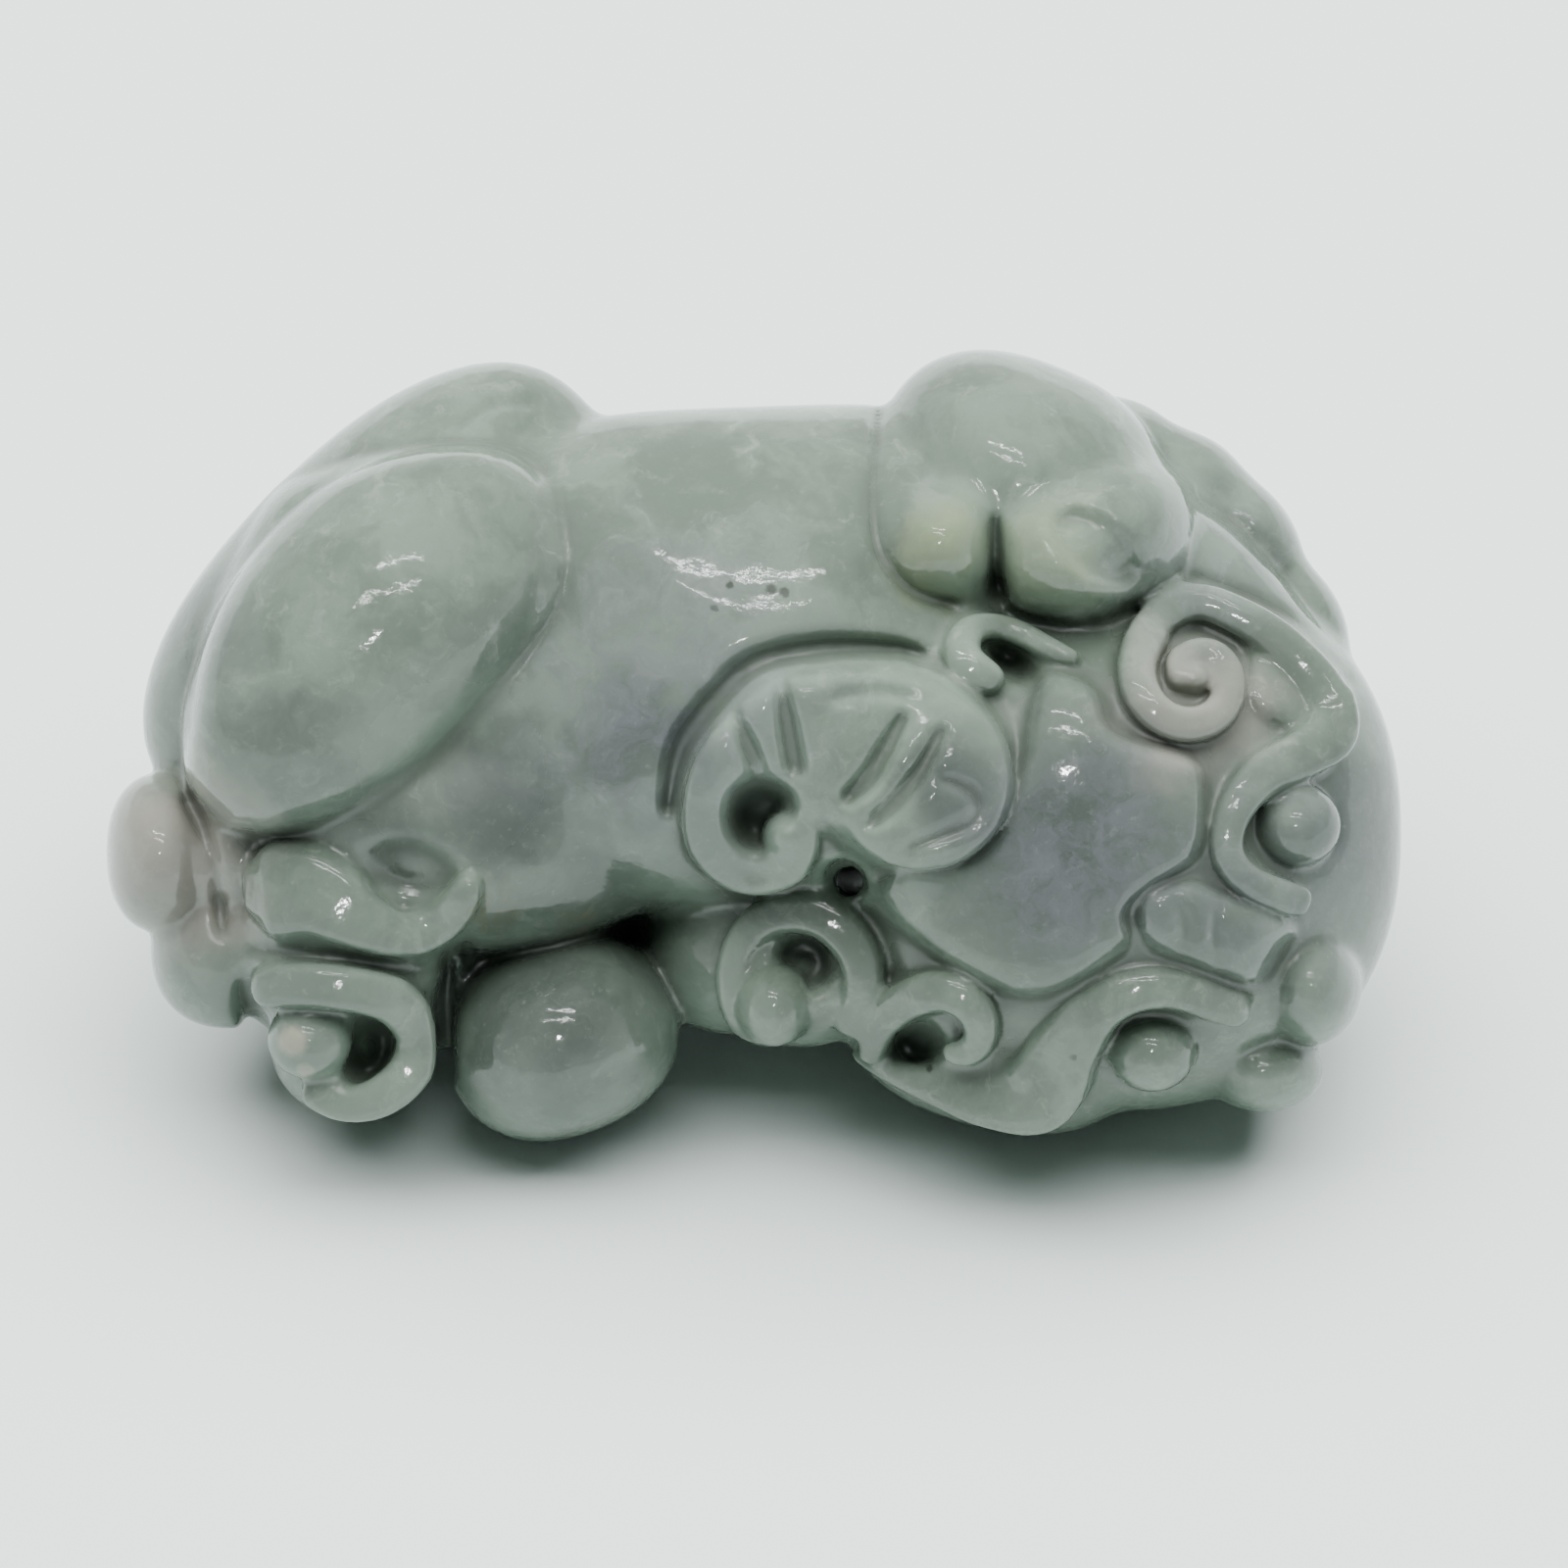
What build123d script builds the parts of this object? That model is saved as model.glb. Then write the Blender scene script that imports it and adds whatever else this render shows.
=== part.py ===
"""Carved jade pixiu pendant: one polished stone, drilled through for its cord.

The animal is drawn in its own frame: u runs from the tail to the head, v from its
right side to its left side and w from the hidden flank to the flank that shows.
Tables hold thousandths of the stone's length (along, long), width (across, wide)
and depth (level, deep).
"""
from build123d import *
from collections import namedtuple
import heapq
import math
import os

import numpy as np

# Driving dimensions, in millimetres and degrees
LENGTH = 52.0
WIDTH = 31.8
DEPTH = 22.0
LEAN = 45.0
RELIEF = 1.5
GROOVE = 1.1
BLEND = 1.0
CORD_HOLE_RADIUS = 0.6
CORD_HOLE_MOUTH_RADIUS = 0.9

# The facets that the carved surface is made of: their first size in millimetres, how
# near an edge's end a crossing may lie, as a share of the edge, and how many times the
# carving's walls and then the whole surface are softened, so that no form is finer than
# the facets can show
FACET = 0.5
CORNER_REACH = 0.95
WALL_SOFTENING = 3
SOFTENING = 2

# The flattest facets are then joined until this many triangles are left. A joined edge
# costs this much for its length, and a triangle neither turns nor thins past a limit
MOST_TRIANGLES = 12400
LONG_EDGE_COST = 0.002
MOST_TURN = 0.3
THINNEST = 0.12
MIDDLE_PULL = 1e-3

# The cord hole, drilled from flank to flank, in the tables' thousandths: where its wall
# ends by the flank that shows and by the hidden flank, each in a flat mouth
CORD_HOLE_ACROSS = -167
CORD_HOLE_TOP_ALONG = 71
CORD_HOLE_TOP_LEVEL = 212
CORD_HOLE_FOOT_ALONG = 115
CORD_HOLE_FOOT_LEVEL = -530

# Where the shown flank's carving runs out on its way round to the hidden flank, as
# shares of DEPTH from the middle of the stone
RELIEF_FADES = -0.2
RELIEF_FADE_RUN = 0.15

# How steep the walls of the bands, hollows and cut lines are, against an even slope
# from the edge to the middle
BAND_WALL = 1.8
HOLLOW_WALL = 1.6
CUT_WALL = 1.5

# The rounded masses that the stone is cut to. Fullness 2 is an ellipsoid and more is
# boxier, seen from the flank that shows. Soft is how much of BLEND rounds the seam. A
# mass that rests has its level worked out, so that it touches what the stone lies on.
Mass = namedtuple("Mass", "name along across level long wide deep turn fullness soft rests")
MASSES = [
    Mass("trunk", 2, 115, 0, 215, 315, 423, 2, 4.0, 1.0, False),
    Mass("loin", -150, 60, -30, 170, 255, 330, 0, 2.4, 1.5, False),
    Mass("rump", -290, 189, -68, 220, 190, 318, 45, 2.3, 1.0, False),
    Mass("haunch", -242, -83, -23, 174, 173, 318, -8, 2.2, 1.2, False),
    Mass("neck", 102, 4, 0, 174, 235, 391, -20, 2.4, 1.2, False),
    Mass("shoulder", 15, -243, -136, 106, 117, 250, 10, 2.2, 1.0, False),
    Mass("head", 268, -107, -68, 231, 352, 436, 0, 2.3, 1.0, False),
    Mass("low brow", 181, -373, -45, 113, 105, 250, -15, 2.2, 0.6, True),
    Mass("belly", -38, 53, -182, 196, 210, 295, 0, 2.2, 1.5, False),
    Mass("jaw", 309, -149, -250, 143, 198, 250, 0, 2.2, 1.5, False),
    Mass("hidden haunch", -159, -83, -227, 143, 185, 250, 10, 2.2, 1.2, False),
    Mass("hidden shoulder", 120, -107, -227, 151, 185, 250, 0, 2.2, 1.2, False),
    Mass("left hind foot", -332, 177, -273, 98, 117, 205, 35, 2.2, 0.8, False),
    Mass("left fore leg", 158, 300, -273, 113, 111, 205, 0, 2.2, 0.8, False),
    Mass("right hind foot", -189, -138, -450, 105, 101, 145, 0, 2.2, 0.8, True),
    Mass("right fore foot", 143, -144, -450, 105, 101, 145, 0, 2.2, 0.8, True),
    Mass("mane", 352, 250, -140, 132, 118, 190, -50, 2.2, 0.6, False),
    Mass("first mane lock", 290, 385, -150, 30, 50, 130, -50, 2.0, 0.3, False),
    Mass("second mane lock", 345, 340, -150, 30, 50, 130, -50, 2.0, 0.3, False),
    Mass("third mane lock", 386, 288, -150, 30, 50, 130, -50, 2.0, 0.3, False),
    Mass("fourth mane lock", 410, 218, -150, 30, 50, 130, -50, 2.0, 0.3, False),
    Mass("fifth mane lock", 432, 150, -150, 30, 50, 130, -50, 2.0, 0.3, False),
    Mass("hidden rump", -290, -260, -182, 120, 130, 205, 0, 2.2, 0.8, False),
    Mass("tail root", -407, -256, -68, 62, 112, 205, 0, 2.3, 0.6, False),
    Mass("tail joint", -405, -125, -60, 60, 110, 240, 0, 2.2, 0.8, False),
    Mass("tail lobe", -456, -132, 10, 43, 101, 191, 0, 2.3, 0.5, False),
    Mass("scroll ground", -317, -237, 0, 98, 111, 227, 0, 2.2, 0.6, False),
    Mass("curl ground", -308, -362, -23, 66, 105, 205, 0, 2.2, 0.4, False),
    Mass("right thigh", -149, -364, -23, 92, 126, 236, 22, 2.2, 0.3, True),
    Mass("ear ground", 36, -278, -23, 65, 99, 227, 0, 2.2, 0.6, False),
    Mass("upper cheek", 427, -300, 0, 42, 80, 200, 0, 2.0, 0.8, False),
    Mass("lower cheek", 389, -405, -60, 48, 56, 164, 0, 2.0, 0.8, False),
    Mass("paw", 201, 338, 45, 113, 152, 327, -22, 2.4, 0.4, False),
    Mass("wrist", 262, 275, 36, 72, 105, 309, 0, 2.2, 1.0, False),
    Mass("inner toe", 142, 260, 191, 44, 67, 195, 0, 2.2, 0.6, False),
    Mass("outer toe", 245, 241, 191, 66, 59, 195, -8, 2.2, 0.6, False),
    Mass("left thigh", -294, 140, 140, 180, 163, 273, 45, 2.4, 0.25, False),
]

# Raised bands, each a run of places with its half width there, in thousandths of WIDTH
Band = namedtuple("Band", "name rise places")
BANDS = [
    Band("tail scroll", 1.1, [(-391, -178, 35), (-365, -177, 60), (-332, -184, 58),
                              (-304, -213, 40), (-276, -234, 29), (-248, -228, 27),
                              (-226, -196, 24), (-215, -159, 14)]),
    Band("tail curl", 1.0, [(-382, -301, 21), (-351, -291, 20), (-309, -297, 23),
                            (-274, -316, 29), (-258, -359, 29), (-264, -405, 28),
                            (-288, -439, 26), (-318, -447, 21), (-346, -428, 17)]),
    Band("left ear", 0.8, [(249, 112, 8), (220, 125, 12), (198, 148, 15), (180, 155, 16),
                           (161, 142, 19), (157, 117, 20), (171, 99, 17), (186, 84, 13),
                           (194, 69, 9)]),
    Band("right ear", 1.0, [(71, -354, 20), (83, -305, 25), (79, -256, 27), (57, -216, 28),
                            (30, -205, 27), (3, -220, 24), (-15, -260, 20), (-17, -309, 20),
                            (-5, -345, 22), (16, -358, 18)]),
    Band("crest curl", 1.2, [(-15, 26, 22), (-34, -25, 24), (-40, -76, 26), (-34, -121, 28),
                             (-15, -150, 28), (6, -157, 28), (28, -143, 26), (36, -111, 22),
                             (25, -91, 18)]),
    Band("left brow", 1.0, [(309, 154, 22), (341, 188, 24), (372, 169, 25), (404, 136, 27),
                            (431, 91, 28), (443, 47, 31), (440, 14, 33), (418, -9, 30),
                            (386, -38, 27), (366, -83, 22), (361, -131, 20),
                            (379, -168, 20), (423, -196, 21)]),
    Band("right brow", 1.0, [(74, -383, 8), (98, -403, 13), (142, -426, 25), (180, -441, 37),
                             (218, -430, 53), (240, -372, 42), (262, -327, 33),
                             (289, -305, 27), (322, -302, 25), (354, -320, 24),
                             (377, -333, 22)]),
    Band("brow curl", 1.1, [(88, -390, 15), (98, -345, 22), (120, -314, 26), (147, -305, 26),
                            (169, -327, 24), (173, -363, 20), (161, -383, 17),
                            (145, -378, 12)]),
]

# Spirals, each wound inwards at an even rate from its outer end
Spiral = namedtuple("Spiral", "name along across outer inner start turns half_width rise")
SPIRALS = [
    Spiral("brow spiral", 328, 84, 58, 50, 110, 0.8, 22, 1.0),
]
SPIRAL_STEPS = 28

# Raised plates, each a closed outline with the run of its edge in thousandths of WIDTH
Plate = namedtuple("Plate", "name rise edge outline")
PLATES = [
    Plate("left thigh", 0.85, 45, [(-375, 309), (-330, 348), (-262, 374), (-205, 372),
                                   (-168, 335), (-158, 270), (-157, 216), (-172, 160),
                                   (-235, 43), (-288, -38), (-355, -86), (-405, -87),
                                   (-434, -40), (-428, 40), (-418, 160)]),
    Plate("forehead", 0.7, 25, [(220, 85), (258, 75), (276, 19), (333, -11), (344, -53),
                                (338, -135), (300, -180), (284, -209), (282, -253),
                                (203, -312), (102, -212), (107, -151), (173, -122),
                                (200, -33)]),
    Plate("nose", 0.6, 30, [(291, -201), (304, -175), (332, -164), (354, -179), (411, -220),
                            (406, -246), (384, -294), (354, -283), (322, -264),
                            (298, -242)]),
    Plate("crest", 1.0, 35, [(-54, -70), (-43, -5), (-15, 56), (9, 87), (50, 101),
                             (105, 104), (140, 96), (172, 62), (195, 5), (195, -60),
                             (178, -115), (148, -147), (105, -156), (70, -125),
                             (48, -105), (40, -150), (15, -176), (-20, -168),
                             (-46, -125)]),
]

# Hollows that are cut in before the bands and domes, and domes that stand up
Spot = namedtuple("Spot", "name along across long wide turn size")
HOLLOWS = [
    Spot("tail hook hollow", -262, -163, 36, 32, -10, 1.1),
    Spot("tail curl hollow", -297, -378, 28, 62, -15, 1.2),
    Spot("tail recess", -388, -325, 12, 50, 10, 0.8),
    Spot("claw hollow", 257, 250, 38, 36, -38, 0.6),
    Spot("left ear hollow", 198, 104, 22, 32, -50, 0.8),
    Spot("crest hollow", 6, -72, 34, 48, -35, 1.5),
    Spot("right ear hollow", 33, -278, 30, 50, -20, 1.0),
    Spot("brow curl hollow", 126, -372, 26, 36, 0, 0.9),
    Spot("left eye socket", 410, -97, 44, 66, 0, 0.7),
    Spot("right eye socket", 300, -375, 44, 62, 0, 0.7),
    Spot("brow valley", 390, 58, 50, 33, -65, 0.4),
]
DOMES = [
    Spot("tail ball", -344, -366, 30, 46, 0, 1.1),
    Spot("crest ball", 25, -109, 20, 32, 0, 1.3),
    Spot("disc", 128, -40, 70, 114, 0, 1.25),
    Spot("right ear ball", 16, -318, 22, 38, 0, 0.9),
    Spot("brow dome", 342, 72, 24, 38, 0, 1.0),
    Spot("left eye", 415, -97, 34, 53, 0, 1.1),
    Spot("right eye", 305, -380, 34, 52, 0, 1.1),
]

# Cut lines, each a run of places with its half width there, in thousandths of WIDTH
Cut = namedtuple("Cut", "name depth places")
HIDDEN_CUTS = [
    Cut("hind toe lines", 0.8, [(-275, -125, 8), (-235, -135, 8)]),
    Cut("hind toe lines", 0.8, [(-275, -160, 8), (-235, -155, 8)]),
    Cut("fore toe lines", 0.8, [(228, -125, 8), (190, -135, 8)]),
    Cut("fore toe lines", 0.8, [(228, -160, 8), (190, -155, 8)]),
    Cut("upper fore toe lines", 0.8, [(75, 290, 8), (40, 280, 8)]),
    Cut("upper fore toe lines", 0.8, [(75, 320, 8), (40, 325, 8)]),
    Cut("upper hind toe lines", 0.8, [(-270, 225, 8), (-235, 255, 8)]),
    Cut("upper hind toe lines", 0.8, [(-290, 255, 8), (-260, 290, 8)]),
]
CUTS = [
    Cut("crest line", 0.8, [(-62, -70, 9), (-53, -10, 12), (-34, 46, 14), (-6, 89, 16),
                            (25, 112, 17), (62, 122, 17), (99, 125, 15), (124, 117, 8)]),
    Cut("first rib line", 0.6, [(-11, 41, 8), (-2, -20, 8)]),
    Cut("second rib line", 0.6, [(23, 76, 9), (28, 21, 9), (31, -40, 9)]),
    Cut("third rib line", 0.7, [(113, 22, 9), (97, -15, 9), (82, -58, 9)]),
    Cut("fourth rib line", 0.7, [(135, 16, 8), (121, -30, 8), (96, -76, 8), (85, -98, 8)]),
    Cut("disc mark", 0.5, [(136, -10, 7), (146, -46, 7), (167, -60, 7), (163, -91, 6)]),
    Cut("toe cleft", 1.2, [(181, 290, 7), (178, 250, 11), (181, 200, 13)]),
    Cut("paw edge", 0.8, [(92, 426, 10), (87, 362, 12), (92, 275, 12), (117, 204, 13),
                          (147, 177, 11)]),
    Cut("rump fold", 0.4, [(-227, 401, 7), (-201, 430, 8), (-170, 433, 7)]),
    Cut("mane edge", 0.7, [(307, 349, 8), (334, 315, 9), (370, 289, 10), (400, 251, 10),
                           (422, 210, 10), (445, 169, 9), (461, 125, 7)]),
    Cut("brow edge", 0.7, [(328, 216, 9), (363, 197, 10), (400, 168, 10), (431, 127, 10),
                           (458, 75, 8)]),
    Cut("tail edge", 0.4, [(-457, -37, 10), (-432, -70, 11), (-414, -144, 11),
                           (-409, -231, 11)]),
    Cut("curl edge", 1.0, [(-236, -262, 10), (-238, -330, 11), (-236, -411, 10)]),
    Cut("scroll edge", 0.7, [(-384, -251, 9), (-325, -262, 9), (-257, -275, 10),
                             (-219, -249, 9)]),
    Cut("first nose line", 0.4, [(323, -194, 7), (329, -224, 7), (325, -253, 7)]),
    Cut("second nose line", 0.4, [(354, -194, 7), (352, -231, 7), (354, -268, 7)]),
]


def smooth_path(places, closed=False, steps=6):
    """Points of a smooth curve through the places, with any third column run along."""
    rows = np.array(places, dtype=float)
    count = len(rows)
    spans = count if closed else count - 1
    out = []
    for i in range(spans):
        if closed:
            a, b, c, d = (rows[(i + k) % count] for k in (-1, 0, 1, 2))
        else:
            a, b, c, d = (rows[min(max(i + k, 0), count - 1)] for k in (-1, 0, 1, 2))
        for s in np.arange(steps) / steps:
            out.append(0.5 * (2 * b + (c - a) * s + (2 * a - 5 * b + 4 * c - d) * s ** 2
                              + (3 * b - a - 3 * c + d) * s ** 3))
    if not closed:
        out.append(rows[-1])
    return np.array(out)


def in_millimetres(path):
    """A path's thousandths as millimetres; its half widths follow WIDTH."""
    scale = [LENGTH / 1000, WIDTH / 1000, WIDTH / 1000]
    return path * scale[:path.shape[1]]


def nearest_on_path(u, v, path, closed=False):
    """Distance to a path, in millimetres, and the path's half width at the nearest place."""
    ends = np.roll(path, -1, axis=0) if closed else path[1:]
    starts = path if closed else path[:-1]
    best = np.full(u.shape, np.inf)
    width = np.zeros(u.shape)
    for a, b in zip(starts, ends):
        run = b[:2] - a[:2]
        share = ((u - a[0]) * run[0] + (v - a[1]) * run[1]) / max(run @ run, 1e-12)
        share = np.clip(share, 0.0, 1.0)
        gap = np.hypot(u - a[0] - share * run[0], v - a[1] - share * run[1])
        closer = gap < best
        best = np.where(closer, gap, best)
        if path.shape[1] > 2:
            width = np.where(closer, a[2] + share * (b[2] - a[2]), width)
    return best, width


def inside_outline(u, v, path):
    """True where a point lies inside a closed path."""
    inside = np.zeros(u.shape, dtype=bool)
    for a, b in zip(path, np.roll(path, -1, axis=0)):
        crosses = (a[1] > v) != (b[1] > v)
        slope = (b[0] - a[0]) / (b[1] - a[1] if b[1] != a[1] else 1e-12)
        inside ^= crosses & (u < a[0] + (v - a[1]) * slope)
    return inside


def eased(share):
    """A share from 0 to 1 with soft ends."""
    share = np.clip(share, 0.0, 1.0)
    return share * share * (3 - 2 * share)


def rounded(reach):
    """The section of a rounded band: 1 in the middle and 0 at its edge."""
    return eased(BAND_WALL * (1 - reach))


def spiral_path(spiral):
    """Places along a spiral, in thousandths, from its outer end inwards."""
    rows = []
    for share in np.linspace(0, 1, SPIRAL_STEPS):
        radius = spiral.outer + share * (spiral.inner - spiral.outer)
        angle = math.radians(spiral.start + 360 * spiral.turns * share)
        along = spiral.along + radius * math.cos(angle) * WIDTH / LENGTH
        rows.append((along, spiral.across + radius * math.sin(angle), spiral.half_width))
    return np.array(rows)


def relief(u, v):
    """Height of the carving that shows, over the masses, in millimetres."""
    height = np.zeros(u.shape)
    for plate in PLATES:
        path = in_millimetres(smooth_path(plate.outline, closed=True, steps=3))
        gap, _ = nearest_on_path(u, v, path, closed=True)
        run = gap / (plate.edge * WIDTH / 1000)
        step = plate.rise * RELIEF * rounded(1 - np.clip(run, 0, 1))
        height = np.maximum(height, np.where(inside_outline(u, v, path), step, 0))
    for hollow in HOLLOWS:
        height = height - hollow.size * RELIEF * eased(HOLLOW_WALL * (1 - oval_reach(u, v, hollow)))
    bands = [(band.rise, smooth_path(band.places)) for band in BANDS]
    bands += [(spiral.rise, spiral_path(spiral)) for spiral in SPIRALS]
    for rise, path in bands:
        gap, half = nearest_on_path(u, v, in_millimetres(path))
        height = raised(height, rise, gap / half)
    for dome in DOMES:
        height = raised(height, dome.size, oval_reach(u, v, dome))
    return height - cut_depth(u, v, CUTS)


def raised(height, rise, reach):
    """Heights with a rounded form added over what lies under it."""
    return np.where(reach < 1, np.maximum(height, rise * RELIEF * rounded(reach)), height)


def cut_depth(u, v, cuts):
    """Depth of the cut lines, in millimetres."""
    depth = np.zeros(u.shape)
    for cut in cuts:
        gap, half = nearest_on_path(u, v, in_millimetres(smooth_path(cut.places)))
        depth = np.maximum(depth, cut.depth * GROOVE * eased(CUT_WALL * (1 - gap / half)))
    return depth


def turned(u, v, along, across, turn):
    """Coordinates about a place, along and across an oval turned in the u, v plane."""
    angle = math.radians(turn)
    du = u - along * LENGTH / 1000
    dv = v - across * WIDTH / 1000
    return (du * math.cos(angle) + dv * math.sin(angle),
            dv * math.cos(angle) - du * math.sin(angle))


def oval_reach(u, v, spot):
    """0 at a spot's middle and 1 on its edge."""
    a, b = turned(u, v, spot.along, spot.across, spot.turn)
    return np.hypot(a / (spot.long * LENGTH / 1000), b / (spot.wide * WIDTH / 1000))


def mass_radii(mass):
    """Half lengths of a mass, in millimetres."""
    return mass.long * LENGTH / 1000, mass.wide * WIDTH / 1000, mass.deep * DEPTH / 1000


def plan_reach(mass, heading):
    """How far a mass reaches from its middle along a heading in the u, v plane."""
    long, wide, _ = mass_radii(mass)
    off = math.radians(heading - mass.turn)
    power = mass.fullness / (mass.fullness - 1)
    return (abs(math.cos(off) * long) ** power + abs(math.sin(off) * wide) ** power) ** (1 / power)


def drop(mass):
    """How far a mass reaches below its middle as the stone lies."""
    lean = math.radians(LEAN)
    return math.hypot(plan_reach(mass, 90) * math.cos(lean), mass_radii(mass)[2] * math.sin(lean))


def lowest(mass, level):
    """Height of a mass's lowest point as the stone lies, before the stone is set down."""
    lean = math.radians(LEAN)
    return mass.across * WIDTH / 1000 * math.cos(lean) + level * math.sin(lean) - drop(mass)


def mass_levels():
    """Level of each mass: those that rest come down to where the head lies."""
    head = next(mass for mass in MASSES if mass.name == "head")
    ground = lowest(head, head.level * DEPTH / 1000)
    levels = []
    for mass in MASSES:
        level = mass.level * DEPTH / 1000
        if mass.rests:
            level += (ground - lowest(mass, level)) / math.sin(math.radians(LEAN))
        levels.append(level)
    return levels


def stone_box():
    """Lowest and highest corner of the masses, with room for the carving on them."""
    low, high = [], []
    for mass, level in zip(MASSES, mass_levels()):
        middle = np.array([mass.along * LENGTH / 1000, mass.across * WIDTH / 1000, level])
        reach = np.array([plan_reach(mass, 0), plan_reach(mass, 90), mass_radii(mass)[2]])
        low.append(middle - reach)
        high.append(middle + reach)
    room = RELIEF + 2 * FACET
    return np.min(low, axis=0) - room, np.max(high, axis=0) + room


def masses_field(u, v, w):
    """Rough distance outside the plain masses, in millimetres; negative inside."""
    field = np.full(u.shape, 100.0)
    for mass, level in zip(MASSES, mass_levels()):
        radii = mass_radii(mass)
        local = (*turned(u, v, mass.along, mass.across, mass.turn), w - level)
        shares = [np.abs(x / r) + 1e-6 for x, r in zip(local, radii)]
        n = mass.fullness
        plan = (shares[0] ** n + shares[1] ** n) ** (1 / n)
        reach = np.hypot(plan, shares[2])
        lean = [(s / plan) ** (n - 1) * plan / r for s, r in zip(shares[:2], radii)]
        slope = np.sqrt(lean[0] ** 2 + lean[1] ** 2 + (shares[2] / radii[2]) ** 2)
        apart = (reach - 1) * reach / slope
        soft = mass.soft * BLEND
        near = np.maximum(soft - np.abs(field - apart), 0) / soft
        field = np.minimum(field, apart) - near ** 2 * soft / 4
    return field


def stone_field(u, v, w):
    """Rough distance outside the carved stone over a grid of places, in millimetres."""
    plan = np.meshgrid(u, v, indexing="ij")
    shows = eased((w - RELIEF_FADES * DEPTH) / (RELIEF_FADE_RUN * DEPTH))
    shown = softened(relief(*plan), WALL_SOFTENING)
    hidden = softened(cut_depth(*plan, HIDDEN_CUTS), WALL_SOFTENING)
    carving = shown[:, :, None] * shows - hidden[:, :, None] * (1 - shows)
    return masses_field(*np.meshgrid(u, v, w, indexing="ij")) - carving


def softened(field, rounds):
    """A field with each value averaged with its neighbours, for some rounds."""
    for _ in range(rounds):
        for axis in range(field.ndim):
            along = np.moveaxis(field, axis, 0).copy()
            along[1:-1] = along[1:-1] / 2 + (along[:-2] + along[2:]) / 4
            field = np.moveaxis(along, 0, axis)
    return field


# Solid
def settled_corners():
    """Which ways of filling a cell's eight corners give it one sheet of surface."""
    places = [(i, j, k) for i in (0, 1) for j in (0, 1) for k in (0, 1)]
    settled = np.zeros(256, dtype=bool)
    for code in range(256):
        filled = [bool(code >> n & 1) for n in range(8)]
        groups = list(range(8))
        for a in range(8):
            for b in range(8):
                beside = sum(x != y for x, y in zip(places[a], places[b])) == 1
                if beside and filled[a] == filled[b]:
                    old, new = groups[b], groups[a]
                    groups = [new if g == old else g for g in groups]
        settled[code] = len(set(groups)) <= 2
    return settled


def cell_codes(filled):
    """Each cell's filled corners as one number from 0 to 255."""
    size = [n - 1 for n in filled.shape]
    codes = np.zeros(size, dtype=int)
    for n in range(8):
        i, j, k = n >> 2 & 1, n >> 1 & 1, n & 1
        codes += filled[i:i + size[0], j:j + size[1], k:k + size[2]].astype(int) << n
    return codes


def fill_doubtful_cells(filled, field):
    """Fills the emptiest cells that would pinch the surface, a corner at a time."""
    settled = settled_corners()
    while True:
        doubtful = np.argwhere(~settled[cell_codes(filled)])
        if not len(doubtful):
            return filled
        for i, j, k in doubtful:
            cell = np.s_[i:i + 2, j:j + 2, k:k + 2]
            nearest = np.where(filled[cell], np.inf, field[cell]).argmin()
            filled[i + (nearest >> 2 & 1), j + (nearest >> 1 & 1), k + (nearest & 1)] = True


def joined_to(seed, allowed):
    """The allowed places that are joined to a seed place by steps along the axes."""
    joined = np.zeros(allowed.shape, dtype=bool)
    joined[seed] = True
    while True:
        grown = joined.copy()
        for axis in range(3):
            for step in (-1, 1):
                grown |= np.roll(joined, step, axis)
        grown &= allowed
        if (grown == joined).all():
            return joined
        joined = grown


def net_corners(field, filled, cells):
    """A corner in each cell, in steps of the grid: the middle of its edges' crossings."""
    total = np.zeros(cells.shape)
    count = np.zeros((len(cells), 1))
    for axis in range(3):
        for side, up in ((0, 0), (0, 1), (1, 0), (1, 1)):
            start = np.roll([0, side, up], axis)
            end = np.roll([1, side, up], axis)
            ends = [tuple((cells + place).T) for place in (start, end)]
            here, there = field[ends[0]], field[ends[1]]
            crossed = (filled[ends[0]] != filled[ends[1]])[:, None]
            share = here / np.where(here == there, 1, here - there)
            share = np.clip(share, 1 - CORNER_REACH, CORNER_REACH)[:, None]
            total += crossed * (start + share * (end - start))
            count += crossed
    return cells + total / count


def facets():
    """Corners and triangles of the carved surface."""
    low, high = stone_box()
    axes = [np.arange(a, b, FACET / 2) for a, b in zip(low, high)]
    field = softened(stone_field(*axes), SOFTENING)[::2, ::2, ::2]
    stone = joined_to(np.unravel_index(field.argmin(), field.shape), field < 0)
    filled = fill_doubtful_cells(~joined_to((0, 0, 0), ~stone), field)
    filled = ~joined_to((0, 0, 0), ~filled)
    cells = np.argwhere((cell_codes(filled) > 0) & (cell_codes(filled) < 255))
    number = np.full([n - 1 for n in filled.shape], -1)
    number[tuple(cells.T)] = np.arange(len(cells))
    corners = low + net_corners(field, filled, cells) * FACET
    triangles = []
    for axis in range(3):
        side, up = (axis + 1) % 3, (axis + 2) % 3
        near = np.moveaxis(filled, (axis, side, up), (0, 1, 2))
        count = np.moveaxis(number, (axis, side, up), (0, 1, 2))
        crossed = near[:-1, 1:-1, 1:-1] != near[1:, 1:-1, 1:-1]
        i, j, k = np.nonzero(crossed)
        ring = np.stack([count[i, j, k], count[i, j + 1, k],
                         count[i, j + 1, k + 1], count[i, j, k + 1]], axis=1)
        inward = ~near[i, j + 1, k + 1]
        ring[inward] = ring[inward][:, ::-1]
        diagonal = [np.linalg.norm(corners[ring[:, n]] - corners[ring[:, n + 2]], axis=1)
                    for n in (0, 1)]
        turn = diagonal[1] < diagonal[0]
        ring[turn] = np.roll(ring[turn], 1, axis=1)
        triangles += [ring[:, [0, 1, 2]], ring[:, [0, 2, 3]]]
    return corners, np.concatenate(triangles)


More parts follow.
